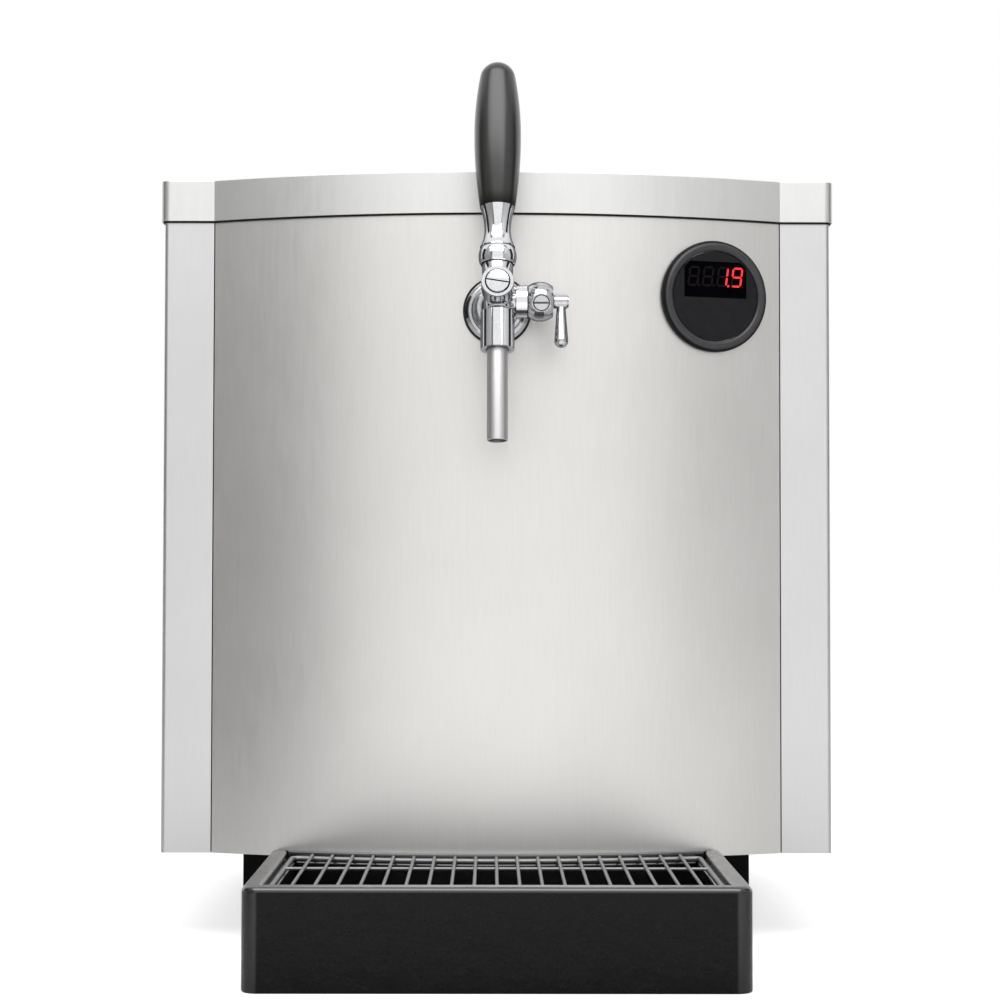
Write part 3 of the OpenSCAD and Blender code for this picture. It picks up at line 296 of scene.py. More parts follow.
upright_streaks = (streak_width, streak_width, streak_length)
dress(brushed_steel("panel_steel", upright_streaks, (0.715, 0.702, 0.682), (0.768, 0.756, 0.738),
                    rough=(0.34, 0.4)), "front_panel", "rear_panel", "base_pan")
dress(brushed_steel("pillar_steel", upright_streaks, (0.635, 0.635, 0.64), (0.68, 0.68, 0.685),
                    rough=(0.34, 0.4)), "left_side", "right_side")


# The lid: one sheet with a flange folded down all round, which follows the bulge of the front.
# Its upper edge is a small bend, and the sheet is brushed from front to rear and down the front flange.
lid_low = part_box("lid")[0]
lid_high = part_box("lid")[1]
panel_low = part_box("front_panel")[0]
panel_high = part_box("front_panel")[1]
pillar_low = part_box("left_side")[0]
pillar_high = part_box("left_side")[1]
sheet = 0.0012
lid_bend = 0.0005
lid_corner = 0.0065
least_lid_corner = 0.0005
lid_arc_steps = 96
lid_corner_steps = 8
lid_bend_steps = 6
lid_sharp = 16
weld_reach = 1e-7
bulge = pillar_low.y - panel_low.y
panel_half = panel_high.x
arc_r = (panel_half * panel_half + bulge * bulge) / (2 * bulge)
arc_y = panel_low.y + arc_r
lid_over = pillar_low.x - lid_low.x
lid_rear = lid_high.y - lid_over


def quarter_round(cx, cy, radius, turn, steps):
    """Places on a quarter circle about a centre, from the turn in degrees on."""
    turns = [radians(turn + 90 * i / steps) for i in range(steps + 1)]
    return [(cx + radius * cos(a), cy + radius * sin(a)) for a in turns]


def bulge_arc(radius, first, last, steps):
    """Places along the bulge of the front at a radius, from the first to the last turn off its middle."""
    turns = [first + (last - first) * i / steps for i in range(steps + 1)]
    return [(radius * sin(a), arc_y - radius * cos(a)) for a in turns]


def lid_path(over, height):
    half = -pillar_low.x + over
    front = pillar_low.y - over
    rear = lid_rear + over
    corner = max(lid_corner - lid_over + over, least_lid_corner)
    radius = arc_r + over
    crease = sqrt(radius * radius - (arc_y - front) ** 2)
    sweep = asin(crease / radius)
    points = bulge_arc(radius, -sweep, sweep, lid_arc_steps)
    for cx, cy, turn in ((half - corner, front + corner, -90), (half - corner, rear - corner, 0),
                         (-half + corner, rear - corner, 90), (-half + corner, front + corner, 180)):
        points += quarter_round(cx, cy, corner, turn, lid_corner_steps)
    return [(x, y, height) for x, y in points]


def settle(piece):
    """Turns the evaluated result of a piece's modifiers into its own plain mesh."""
    graph = bpy.context.evaluated_depsgraph_get()
    evaluated = piece.evaluated_get(graph)
    mesh = bpy.data.meshes.new_from_object(evaluated, preserve_all_data_layers=True, depsgraph=graph)
    piece.modifiers.clear()
    piece.data = mesh


def even_flats(piece, weight=50):
    """Weights the normals by face size, so that a flat next to a rounded edge is shaded flat."""
    flats = piece.modifiers.new("even_flats", "WEIGHTED_NORMAL")
    flats.keep_sharp = True
    flats.weight = weight
    settle(piece)


def ring_skin(name, rings, capped=True, sharp=35, polish=None):
    """One skin through rings of equally many points, each point with its own polish if that is given."""
    mesh = bpy.data.meshes.new(name)
    count = len(rings[0])
    verts = [p for ring in rings for p in ring]
    faces = []
    for low in range(0, len(verts) - count, count):
        high = low + count
        for i in range(count):
            j = (i + 1) % count
            faces.append((low + i, low + j, high + j, high + i))
    if capped:
        faces.append(tuple(reversed(range(count))))
        faces.append(tuple(range(len(verts) - count, len(verts))))
    mesh.from_pydata(verts, [], faces)
    if polish:
        mesh.attributes.new("polish", "FLOAT", "POINT").data.foreach_set("value", polish)
    skin = bmesh.new()
    skin.from_mesh(mesh)
    bmesh.ops.remove_doubles(skin, verts=skin.verts, dist=weld_reach)
    bmesh.ops.recalc_face_normals(skin, faces=skin.faces)
    skin.to_mesh(mesh)
    skin.free()
    mesh.shade_smooth()
    mesh.set_sharp_from_angle(angle=radians(sharp))
    piece = new_piece(name, mesh)
    even_flats(piece)
    return piece


lid_rings = [lid_path(lid_over - sheet, lid_high.z - sheet), lid_path(lid_over - sheet, lid_low.z),
             lid_path(lid_over, lid_low.z)]
lid_edge = quarter_round(lid_over - lid_bend, lid_high.z - lid_bend, lid_bend, 0, lid_bend_steps)
lid_rings += [lid_path(over, height) for over, height in lid_edge]
lid_cover = ring_skin("lid_cover", lid_rings, sharp=lid_sharp)
lid_steel = brushed_steel("lid_steel", (streak_width, streak_length, streak_length),
                          (0.705, 0.71, 0.695), (0.755, 0.76, 0.742), rough=(0.35, 0.41))
lid_cover.data.materials.append(lid_steel)
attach(lid_cover, "cabinet")
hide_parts("lid")


# A black strip fills the gap under the lid's flange and shows as a dark line below it. It is a dark piece
# set where the gap has only shade, a painted shadow, between the flange and the cabinet.
strip_hang = 0.0012
strip_rise = 0.004
strip_inner = 0.0002
strip_play = 0.0001
strip_outer = lid_over - sheet - strip_play
grain_detail = 3
grain_depth = 0.0004
mottle_share = 0.2
mottle_detail = 4
mottle_rough = 0.6
swell_depth = 0.002
moulded_grain, given, end = new_group("moulded_grain", "ShaderNodeTree",
                                      {"Place": "Vector", "Size": "Float"},
                                      {"Grain": "Float", "Mottle": "Float"})
mottle_size = maths("MULTIPLY", given["Size"], mottle_share)
feed(end, {"Grain": noise(given["Place"], given["Size"], grain_detail),
           "Mottle": noise(given["Place"], mottle_size, mottle_detail, mottle_rough)})


def moulded(name, dark, pale, rough, grain, size, shine=0.5, uneven=0):
    plastic, shader, masks = new_finish(name, moulded_grain, {"Size": size})
    fine = bumped(masks["Grain"], grain, grain_depth)
    feed(shader, {"Specular IOR Level": shine, "Base Color": toned(masks["Mottle"], mask_spread, dark, pale),
                  "Roughness": mapped(masks["Mottle"], mask_spread, rough),
                  "Normal": bumped(masks["Mottle"], uneven, swell_depth, Normal=fine)})
    return plastic


strip_rings = [lid_path(strip_inner, lid_low.z + strip_rise), lid_path(strip_inner, lid_low.z - strip_hang),
               lid_path(strip_outer, lid_low.z - strip_hang), lid_path(strip_outer, lid_low.z + strip_rise)]
shadow_strip = ring_skin("lid_strip", strip_rings + strip_rings[:1], capped=False)
# The strip's near-black colour is painted shadow for the gap under the flange.
painted_shadow_strip = moulded("painted_shadow_strip", (0.006, 0.006, 0.006), (0.01, 0.01, 0.01),
                      rough=(0.6, 0.75), grain=0.1, size=700, shine=0.3)
shadow_strip.data.materials.append(painted_shadow_strip)
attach(shadow_strip, "cabinet")


# The plinth is a moulded black skirt under the base pan, and stands on four rubber feet.
# Both are dull and hardly catch the light.
dress(moulded("plinth_black", (0.0012, 0.0012, 0.0013), (0.0026, 0.0026, 0.0028),
              rough=(0.6, 0.72), grain=0.1, size=500, shine=0.06), "plinth")
foot_rubber = moulded("foot_rubber", (0.012, 0.012, 0.012), (0.018, 0.018, 0.018),
                      rough=(0.7, 0.85), grain=0.15, size=900, shine=0.3)
dress(foot_rubber, "feet")


# Pan-head screws hold the lid's side flanges and the rear panel.
# They are turned steel with a cross recess, and sit with their heads on the sheet.
screw_head_r = 0.004
screw_head_h = 0.0022
screw_edge = 0.0009
screw_seat_edge = 0.0002
screw_wall_h = screw_head_h * 0.45
screw_top_r = screw_head_r * 0.62
screw_steps = 32
recess_long = 0.0042
recess_wide = 0.0009
recess_deep = 0.0012
turned_sharp = 32
axis_near = 1e-9
turned_weld = 1e-8
corner_share = 0.49


def solid_piece(name, solid, place=Matrix()):
    """A piece from working geometry, set in its place."""
    bmesh.ops.recalc_face_normals(solid, faces=solid.faces)
    bmesh.ops.transform(solid, matrix=place, verts=solid.verts)
    mesh = bpy.data.meshes.new(name)
    solid.to_mesh(mesh)
    solid.free()
    return new_piece(name, mesh)


def turned(name, profile, place, steps):
    """A closed solid turned about Z from places of radius and height, then set in its place."""
    solid = bmesh.new()
    turns = [2 * pi * i / steps for i in range(steps)]
    rings = []
    for radius, height in profile:
        if radius < axis_near:
            rings.append([solid.verts.new((0, 0, height))])
        else:
            rings.append([solid.verts.new((radius * cos(a), radius * sin(a), height)) for a in turns])
    for low, high in zip(rings, rings[1:]):
        for i in range(steps):
            j = (i + 1) % steps
            corners = [low[i % len(low)], low[j % len(low)], high[j % len(high)], high[i % len(high)]]
            kept = list(dict.fromkeys(corners))
            if len(kept) > 2:
                solid.faces.new(kept)
    bmesh.ops.remove_doubles(solid, verts=solid.verts, dist=turned_weld)
    piece = solid_piece(name, solid, place)
    piece.data.shade_smooth()
    piece.data.set_sharp_from_angle(angle=radians(turned_sharp))
    return piece


def soft_corners(points, steps=5):
    """A profile whose corners are rounded: each point is radius, height and the round at that corner."""
    soft = []
    last = len(points) - 1
    for i, (r, h, round_r) in enumerate(points):
        here = Vector((r, h))
        if round_r <= 0 or i in (0, last):
            soft.append((r, h))
            continue
        back = Vector(points[i - 1][:2]) - here
        ahead = Vector(points[i + 1][:2]) - here
        half_angle = back.angle(ahead) / 2
        reach = round_r * cos(half_angle) / sin(half_angle)
        reach = min(reach, corner_share * back.length, corner_share * ahead.length)
        true_r = reach * sin(half_angle) / cos(half_angle)
        centre = here + (back.normalized() + ahead.normalized()).normalized() * (true_r / sin(half_angle))
        first = here + back.normalized() * reach - centre
        final = here + ahead.normalized() * reach - centre
        for k in range(steps + 1):
            t = k / steps
            way = (first * (1 - t) + final * t).normalized()
            soft.append(tuple(centre + way * true_r))
    return soft


def end_group(end, geometry, material):
    """Ends a geometry node group with real geometry in one material."""
    real = add_node(end.id_data, "GeometryNodeRealizeInstances", {"Geometry": geometry})
    inputs = {"Geometry": real.outputs["Geometry"], "Material": material}
    feed(end, {"Geometry": add_node(end.id_data, "GeometryNodeSetMaterial", inputs).outputs["Geometry"]})


set_on_points, given, end = new_group(
    "set_on_points", "GeometryNodeTree",
    {"Geometry": "Geometry", "Shape": "Object", "Finish": "Material"}, {"Geometry": "Geometry"})
shape = add_node(set_on_points, "GeometryNodeObjectInfo", {"Object": given["Shape"]})
aim = add_node(set_on_points, "GeometryNodeInputNamedAttribute", {"Name": "aim"}, data_type="FLOAT_VECTOR")
turn = add_node(set_on_points, "FunctionNodeAlignRotationToVector", {"Vector": aim.outputs["Attribute"]},
                axis="Z")
copies = add_node(set_on_points, "GeometryNodeInstanceOnPoints", {
    "Points": given["Geometry"], "Instance": shape.outputs["Geometry"], "Rotation": turn.outputs[0]})
end_group(end, copies.outputs["Instances"], given["Finish"])


def run_group(piece, group, inputs):
    """Runs a geometry node group on a piece, with its inputs by name."""
    step = piece.modifiers.new(group.name, "NODES")
    step.node_group = group
    for item in group.interface.items_tree:
        if item.in_out == "INPUT" and item.name in inputs:
            step[item.identifier] = inputs[item.name]
    settle(piece)


def repeated(name, shape, spots, finish):
    """Copies of a shape on spots: each is a place and the way that the shape's Z points."""
    mesh = bpy.data.meshes.new(name)
    mesh.from_pydata([place for place, aim in spots], [], [])
    aims = [part for place, aim in spots for part in aim]
    mesh.attributes.new("aim", "FLOAT_VECTOR", "POINT").data.foreach_set("vector", aims)
    piece = new_piece(name, mesh)
    run_group(piece, set_on_points, {"Shape": shape, "Finish": finish})
    return piece


def cut_out(piece, tool, crossed=False):
    """Cuts the shape of a tool out of a turned piece, and clears the tool away."""
    cut = piece.modifiers.new("cut", "BOOLEAN")
    cut.object = tool
    cut.use_self = crossed
    settle(piece)
    bpy.data.objects.remove(tool)
    piece.data.set_sharp_from_angle(angle=radians(turned_sharp))


def screw_shape():
    head_profile = soft_corners([
        (0, 0, 0), (screw_head_r, 0, screw_seat_edge), (screw_head_r, screw_wall_h, screw_edge),
        (screw_top_r, screw_head_h, screw_edge), (0, screw_head_h, 0)])
    head = turned("screw_head", head_profile, Matrix(), screw_steps)
    cross = bmesh.new()
    for turn in (0, 90):
        arm = bmesh.ops.create_cube(cross, size=1)["verts"]
        bmesh.ops.scale(cross, vec=(recess_long, recess_wide, 2 * recess_deep), verts=arm)
        bmesh.ops.translate(cross, vec=(0, 0, screw_head_h), verts=arm)
        bmesh.ops.rotate(cross, matrix=Matrix.Rotation(radians(turn), 3, "Z"), verts=arm)
    cut_out(head, solid_piece("recess", cross), crossed=True)
    return head


wave_detail = 1
wave_depth = 0.0005
haze_share = 7
haze_detail = 3
painted_shade_samples = 8
painted_shade_spread = (0.5, 0.9)
painted_shade_tones = (0.04, 1)
polish_waves, given, end = new_group("polish_waves", "ShaderNodeTree", {"Place": "Vector", "Size": "Float"},
                                     {"Wave": "Float", "Haze": "Float"})
haze_size = maths("MULTIPLY", given["Size"], haze_share)
feed(end, {"Wave": noise(given["Place"], given["Size"], wave_detail),
           "Haze": noise(given["Place"], haze_size, haze_detail)})


def bright_metal(name, dark, pale, rough, wave, size, painted_shade_reach=0):
    """Bare or plated metal; where a reach is given, ambient occlusion darkens its colour in corners and
    recesses, a painted shade.
    """
    metal, shader, masks = new_finish(name, polish_waves, {"Size": size})
    tree = metal.node_tree
    colour = toned(masks["Haze"], mask_spread, dark, pale)
    # Painted shade: the colour is scaled down where ambient occlusion finds corners and recesses.
    if painted_shade_reach:
        corners = add_node(tree, "ShaderNodeAmbientOcclusion", {"Distance": painted_shade_reach}, samples=painted_shade_samples)
        painted_shade = mapped(corners.outputs["AO"], painted_shade_spread, painted_shade_tones)
        inputs = {0: colour, "Scale": painted_shade}
        colour = add_node(tree, "ShaderNodeVectorMath", inputs, operation="SCALE").outputs[0]
    gloss = mapped(masks["Haze"], mask_spread, rough)
    feed(shader, {"Metallic": 1, "Base Color": colour, "Roughness": gloss,
                  "Normal": bumped(masks["Wave"], wave, wave_depth)})
    return metal


screw_steel = bright_metal("screw_steel", (0.5, 0.5, 0.5), (0.62, 0.62, 0.62),
                           rough=(0.22, 0.32), wave=0.02, size=300)
one_screw = screw_shape()
lid_screw_low, lid_screw_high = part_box("lid_screws")
lid_spots = [((side * lid_high.x, y, (lid_low.z + lid_high.z) / 2), (side, 0, 0)) for side in (-1, 1)
             for y in (lid_screw_low.y + screw_head_r, lid_screw_high.y - screw_head_r)]
lid_screw_heads = repeated("lid_screw_heads", one_screw, lid_spots, screw_steel)
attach(lid_screw_heads, "cabinet")
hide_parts("lid_screws")
rear_screw_low, rear_screw_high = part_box("rear_screws")
rear_spots = [((x, pillar_high.y, z), (0, 1, 0))
              for x in (rear_screw_low.x + screw_head_r, rear_screw_high.x - screw_head_r)
              for z in (rear_screw_low.z + screw_head_r, (pillar_low.z + lid_low.z) / 2,
                        rear_screw_high.z - screw_head_r)]
rear_screw_heads = repeated("rear_screw_heads", one_screw, rear_spots, screw_steel)
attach(rear_screw_heads, "cabinet")
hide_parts("rear_screws")
bpy.data.objects.remove(one_screw)


# The cooling works inside: a foamed block with the beer coil, the compressor, the condenser and its fan.
# They stand on the base pan and are joined by bent copper tube.
dress(moulded("foam", (0.6, 0.53, 0.33), (0.72, 0.65, 0.43),
              rough=(0.8, 0.95), grain=0.5, size=250, shine=0.2), "insulation")
dress(bright_metal("cast_aluminium", (0.5, 0.51, 0.52), (0.62, 0.63, 0.64),
                   rough=(0.4, 0.55), wave=0.1, size=250), "cooling_block")
dress(bright_metal("fin_aluminium", (0.58, 0.59, 0.6), (0.68, 0.69, 0.7),
                   rough=(0.3, 0.42), wave=0.05, size=200), "condenser")
dress(moulded("motor_paint", (0.018, 0.018, 0.019), (0.028, 0.028, 0.03),
              rough=(0.3, 0.45), grain=0.1, size=400), "compressor", "fan_motor")
dress(moulded("fan_black", (0.012, 0.012, 0.013), (0.02, 0.02, 0.021),
              rough=(0.35, 0.5), grain=0.1, size=600), "fan_rotor", "fan_shroud")
dress(foot_rubber, "compressor_mounts")
dress(bright_metal("line_copper", (0.62, 0.3, 0.19), (0.76, 0.4, 0.27),
                   rough=(0.2, 0.36), wave=0.04, size=180),
      "filter_drier", "capillary", "discharge_line", "suction_line")
dress(moulded("hose_white", (0.66, 0.66, 0.63), (0.74, 0.74, 0.71),
              rough=(0.3, 0.4), grain=0.05, size=400), "product_line", "tap_hose")


# The rear fittings: the beer inlet, the thermostat knob, the rocker switch and the power socket.
# They are moulded plastic, set in holes of the rear panel with nuts or snap-in bodies behind it.
dress(moulded("fitting_white", (0.68, 0.68, 0.66), (0.76, 0.76, 0.74),
              rough=(0.32, 0.42), grain=0.08, size=500), "inlet_fitting", "inlet_nut", "thermostat")
dress(moulded("collet_grey", (0.1, 0.1, 0.105), (0.14, 0.14, 0.145),
              rough=(0.35, 0.45), grain=0.08, size=600), "inlet_collet")
dress(moulded("switch_black", (0.012, 0.012, 0.012), (0.02, 0.02, 0.02),
              rough=(0.35, 0.45), grain=0.1, size=800), "switch_frame", "power_inlet", "thermostat_knob")
dress(moulded("rocker_red", (0.4, 0.018, 0.014), (0.48, 0.026, 0.02),
              rough=(0.22, 0.3), grain=0.03, size=500), "rocker")


# The thermometer: a round bezel on the front panel, with a dull black face and a tinted window.
# On the window show four red seven-segment digits, of which two are lit.
face_low, face_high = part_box("display_face")
face_mid = (face_low + face_high) / 2
face_lift = 0.003
display_turn = asin(face_mid.x / (arc_r + face_lift))
display_place = Matrix.Translation((0, arc_y, face_mid.z)) @ Matrix.Rotation(display_turn, 4, "Z")
display_place = display_place @ Matrix.Translation((0, -arc_r, 0)) @ Matrix.Rotation(radians(90), 4, "X")
ring_steps = 96
bezel_r = 0.039
skirt_r = 0.0374
bezel_in_r = 0.0319
bezel_back = -0.0014
face_r = 0.03135
face_back = 0.002
face_front = 0.004
window_front = 0.0037
window_wide = 0.0465
window_high = 0.0252
window_up = 0.0116
window_clip_r = 0.0306
window_play = 0.00005
bezel_profile = soft_corners([
    (bezel_in_r, face_back, 0), (bezel_in_r, 0.0044, 0.0004), (0.0332, 0.0054, 0.001),
    (0.0358, 0.0056, 0.0014), (skirt_r, 0.0047, 0.0008), (skirt_r, face_back, 0),
    (bezel_in_r, face_back, 0)])
skirt_profile = soft_corners([
    (skirt_r, bezel_back, 0), (skirt_r, 0.0045, 0.0001), (0.0382, 0.004, 0.0006), (bezel_r, 0.0024, 0.0006),
    (0.0387, bezel_back, 0.0002), (skirt_r, bezel_back, 0)])
bezel_ring = turned("bezel_ring", bezel_profile, display_place, ring_steps)
bezel_grey = moulded("bezel_grey", (0.034, 0.034, 0.037), (0.044, 0.044, 0.048),
                     rough=(0.36, 0.44), grain=0.06, size=900)
bezel_ring.data.materials.append(bezel_grey)
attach(bezel_ring, "cabinet")
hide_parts("bezel")
# The skirt round the bezel's outer edge is a darker, duller copy of the bezel's grey plastic: painted shade
# for the dark line at the bezel's foot.
bezel_skirt = turned("bezel_skirt", skirt_profile, display_place, ring_steps)
skirt_painted_shade = moulded("skirt_painted_shade", (0.006, 0.006, 0.007), (0.009, 0.009, 0.01),
                      rough=(0.55, 0.65), grain=0.06, size=900, shine=0.15)
bezel_skirt.data.materials.append(skirt_painted_shade)
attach(bezel_skirt, "cabinet")


def prisms(name, outlines, low, high, place):
    """One upright prism on each outline, from the low to the high place, then all set in their place."""
    solid = bmesh.new()
    for outline in outlines:
        under = [solid.verts.new((x, y, low)) for x, y in outline]
        over = [solid.verts.new((x, y, high)) for x, y in outline]
        solid.faces.new(list(reversed(under)))
        solid.faces.new(over)
        for i in range(len(outline)):
            j = (i + 1) % len(outline)
            solid.faces.new((under[i], under[j], over[j], over[i]))
    return solid_piece(name, solid, place)


def window_outline(grow, steps=8):
    """The window's outline, grown all round: straight sides and foot, and a top that follows the bezel."""
    half = window_wide / 2 + grow
    low = window_up - window_high / 2 - grow
    high = window_up + window_high / 2 + grow
    radius = window_clip_r + grow
    first = acos(half / radius)
    last = asin(high / radius)
    turns = [first + (last - first) * i / steps for i in range(steps + 1)]
    right = [(half, low)] + [(radius * cos(a), radius * sin(a)) for a in turns]
    return right + [(-x, y) for x, y in reversed(right)]


face_profile = [(0, face_back), (face_r, face_back), (face_r, face_front), (0, face_front)]
face_plate = turned("face_plate", face_profile, display_place, ring_steps)
cut_out(face_plate, prisms("window_hole", [window_outline(window_play)], 0, 2 * face_front, display_place))
window_plate = prisms("window_plate", [window_outline(0)], face_back, window_front, display_place)

digit_count = 4
digit_step = 0.0108
digit_wide = 0.0067
digit_high = 0.0126
digit_rise = 0.0021
digit_lean = radians(8)
bar_half = 0.00068
bar_space = 0.0003
bar_thick = 0.00015
point_off = 0.0018
point_r = 0.00082
point_steps = 16
point_bar = 7
bar_ends = (((0, 1), (1, 1)), ((1, 1), (1, 0.5)), ((1, 0.5), (1, 0)), ((1, 0), (0, 0)), ((0, 0), (0, 0.5)),
            ((0, 0.5), (0, 1)), ((0, 0.5), (1, 0.5)))
lit_bars = ((), (), (1, 2, point_bar), (0, 1, 2, 3, 5, 6))
glow_strength = 0.85
glow_scale = 700
glow_detail = 2


def bar_outline(digit, bar):
    if bar == point_bar:
        centre = Vector((digit_wide + point_off, 0))
        turns = [2 * pi * i / point_steps for i in range(point_steps)]
        points = [centre + point_r * Vector((cos(a), sin(a))) for a in turns]
    else:
        start, end = [Vector((x * digit_wide, y * digit_high)) for x, y in bar_ends[bar]]
        way = (end - start).normalized()
        side = Vector((-way.y, way.x)) * bar_half
        first = start + way * bar_space
        last = end - way * bar_space
        tip = way * bar_half
        points = [first, first + tip - side, last - tip - side, last, last - tip + side, first + tip + side]
    left = digit_step * (digit - digit_count / 2) + (digit_step - digit_wide) / 2
    low = window_up + digit_rise - digit_high / 2
    return [(left + p.x + (p.y - digit_high / 2) * tan(digit_lean), low + p.y) for p in points]


def digit_bars(name, lit):
    outlines = [bar_outline(digit, bar) for digit in range(digit_count) for bar in range(point_bar + 1)
                if (bar in lit_bars[digit]) == lit]
    return prisms(name, outlines, window_front, window_front + bar_thick, display_place)


lit_digits = digit_bars("lit_digits", True)
unlit_digits = digit_bars("unlit_digits", False)

face_black = moulded("face_black", (0.01, 0.0095, 0.011), (0.014, 0.0135, 0.015),
                     rough=(0.45, 0.55), grain=0.05, size=900, shine=0.15)
window_tint = moulded("window_tint", (0.0009, 0.0009, 0.002), (0.0015, 0.0015, 0.003),
                      rough=(0.16, 0.22), grain=0, size=300, shine=0.01)
unlit_bar = moulded("unlit_bar", (0.0085, 0.0052, 0.0062), (0.012, 0.007, 0.0084),
                    rough=(0.3, 0.4), grain=0, size=800, shine=0.05)
dress(moulded("case_black", (0.012, 0.012, 0.012), (0.018, 0.018, 0.018),
              rough=(0.4, 0.5), grain=0.08, size=700), "display_case", "display_nut")
lit_bar = moulded("lit_bar", (0.6, 0.01, 0.012), (0.75, 0.02, 0.02),
                  rough=(0.3, 0.4), grain=0, size=800, shine=0.2)
lit_grain = noise(object_place(lit_bar.node_tree), glow_scale, glow_detail)
lit_glow = toned(lit_grain, (0, 1), (0.95, 0.02, 0.03), (1.0, 0.06, 0.07))
feed(shader_of(lit_bar), {"Emission Color": lit_glow, "Emission Strength": glow_strength})
for piece, finish, node, slot in ((face_plate, face_black, "display_face", "face_black"),
                                  (window_plate, window_tint, "display_window", "window_dark"),
                                  (unlit_digits, unlit_bar, "segments_dark", "led_off"),
                                  (lit_digits, lit_bar, "segments_lit", "led_red")):
    piece.data.materials.append(finish)
    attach(piece, "cabinet")
    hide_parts(node)


# The tap is turned and cast brass with polished chrome plating, on a shank through the front panel.
# Its cast pieces keep the solids' shapes, welded into one surface whose flats stay flat.
# The compensator, its lever, the nut and the rosette are plated without the last polish.
# The plating's edge tint is dark: a painted dark reflection along its grazing edges.
chrome_painted_dark_edge = (0.12, 0.12, 0.14, 1)
# The plated pieces carry painted shade in their corners and recesses, over this reach.
chrome_painted_shade_reach = 0.0025
plated_weld = 2e-6
plated_flat = radians(0.2)
plated_sharp = radians(28)
plated_weight = 70
chrome = bright_metal("tap_chrome", (0.76, 0.765, 0.78), (0.84, 0.845, 0.86),
                      rough=(0.02, 0.05), wave=0.015, size=90, painted_shade_reach=chrome_painted_shade_reach)
dull_chrome = bright_metal("dull_chrome", (0.5, 0.505, 0.52), (0.58, 0.585, 0.6),
                           rough=(0.07, 0.12), wave=0.015, size=90, painted_shade_reach=chrome_painted_shade_reach)
for plating in (chrome, dull_chrome):
    feed(shader_of(plating), {"Specular Tint": chrome_painted_dark_edge})


def plated(node, finish, body):
    """A copy of a solid's mesh with its flats as single faces, in its own finish."""
    mesh = nodes[node].data.copy()
    solid = bmesh.new()
    solid.from_mesh(mesh)
    bmesh.ops.remove_doubles(solid, verts=solid.verts, dist=plated_weld)
    bmesh.ops.dissolve_degenerate(solid, edges=solid.edges, dist=plated_weld)
    bmesh.ops.dissolve_limit(solid, angle_limit=plated_flat, verts=solid.verts, edges=solid.edges)
    solid.to_mesh(mesh)
    solid.free()
    mesh.name = node + "_plated"
    mesh.shade_smooth()
    mesh.set_sharp_from_angle(angle=plated_sharp)
    mesh.materials.clear()
    mesh.materials.append(finish)
    piece = new_piece(node + "_plated", mesh)
    even_flats(piece, plated_weight)
    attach(piece, body)
    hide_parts(node)


for node in ("tap_shank", "tap_body", "tap_collar", "front_plug"):
    plated(node, chrome, "cabinet")
for node in ("compensator_housing", "compensator_screw"):
    plated(node, dull_chrome, "cabinet")
plated("tap_lever", chrome, "lever")
plated("flow_lever", dull_chrome, "flow_control")


# The rosette covers the hole in the panel, and the coupling nut draws the tap on to the shank.
# Both are turned and have soft edges.
shank_low, shank_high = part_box("tap_shank")
tap_place = Matrix.Translation((0, arc_y - arc_r, (shank_low.z + shank_high.z) / 2))
tap_place = tap_place @ Matrix.Rotation(radians(90), 4, "X")
rosette_play = 0.00005
rosette_hole = shank_high.x + rosette_play
rosette_back = 0.002
nut_hole = 0.01045
nut_r = 0.015
nut_back = 0.011
nut_front = 0.0226
rosette_profile = soft_corners([
    (rosette_hole, rosette_back, 0), (0.0222, rosette_back, 0.0002), (0.0222, 0.0026, 0.0004),
    (0.0198, 0.0051, 0.0016), (0.0175, 0.0055, 0.0004), (0.0173, 0.0078, 0.001), (0.0148, 0.0094, 0.0006),
    (0.0146, nut_back, 0.0003), (rosette_hole, nut_back, 0), (rosette_hole, rosette_back, 0)])
nut_profile = soft_corners([
    (nut_hole, nut_back, 0), (nut_r, nut_back, 0.0012), (nut_r, nut_front, 0.0018), (nut_hole, nut_front, 0),
    (nut_hole, nut_back, 0)])
for node, profile in (("rosette", rosette_profile), ("coupling_nut", nut_profile)):
    ring = turned(node + "_ring", profile, tap_place, ring_steps)
    ring.data.materials.append(dull_chrome)
    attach(ring, "cabinet")
    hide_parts(node)
dress(moulded("gasket_rubber", (0.006, 0.006, 0.006), (0.01, 0.01, 0.01),
              rough=(0.5, 0.65), grain=0.1, size=800, shine=0.3), "rosette_gasket", "valve_seal")
dress(bright_metal("nut_brass", (0.6, 0.43, 0.19), (0.74, 0.55, 0.27),
                   rough=(0.2, 0.32), wave=0.03, size=250), "shank_nut")
dress(moulded("cone_white", (0.7, 0.7, 0.68), (0.76, 0.76, 0.74),
              rough=(0.3, 0.4), grain=0.05, size=600), "compensator_cone")


# The spout is a bent stainless tube pushed into the tap's socket.
# It has a satin finish, and so has the valve stem.
spout_satin = bright_metal("spout_satin", (0.6, 0.59, 0.59), (0.68, 0.67, 0.67),
                           rough=(0.34, 0.42), wave=0.02, size=400)
plated("spout", spout_satin, "cabinet")
dress(spout_satin, "valve_stem")


# The handle is one turned piece of black plastic, screwed on the lever.
# Its polish has worn off at the lower end, where it is taken hold of.
handle_worn = 0.004
handle_fade = 0.012
handle_coat_rough = 0.27
handle_coat_ior = 1.6
handle_black = moulded("handle_black", (0.01, 0.01, 0.009), (0.013, 0.013, 0.012),
                       rough=(0.3, 0.36), grain=0.01, size=300, shine=0.12)
polish_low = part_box("tap_handle")[0].z + handle_worn
polish_high = polish_low + handle_fade
handle_z = object_axes(handle_black.node_tree)["Z"]
handle_polish = mapped(handle_z, (polish_low, polish_high), (0, 1), interpolation_type="SMOOTHSTEP")
feed(shader_of(handle_black),
     {"Coat Weight": handle_polish, "Coat Roughness": handle_coat_rough, "Coat IOR": handle_coat_ior})
plated("tap_handle", handle_black, "lever")


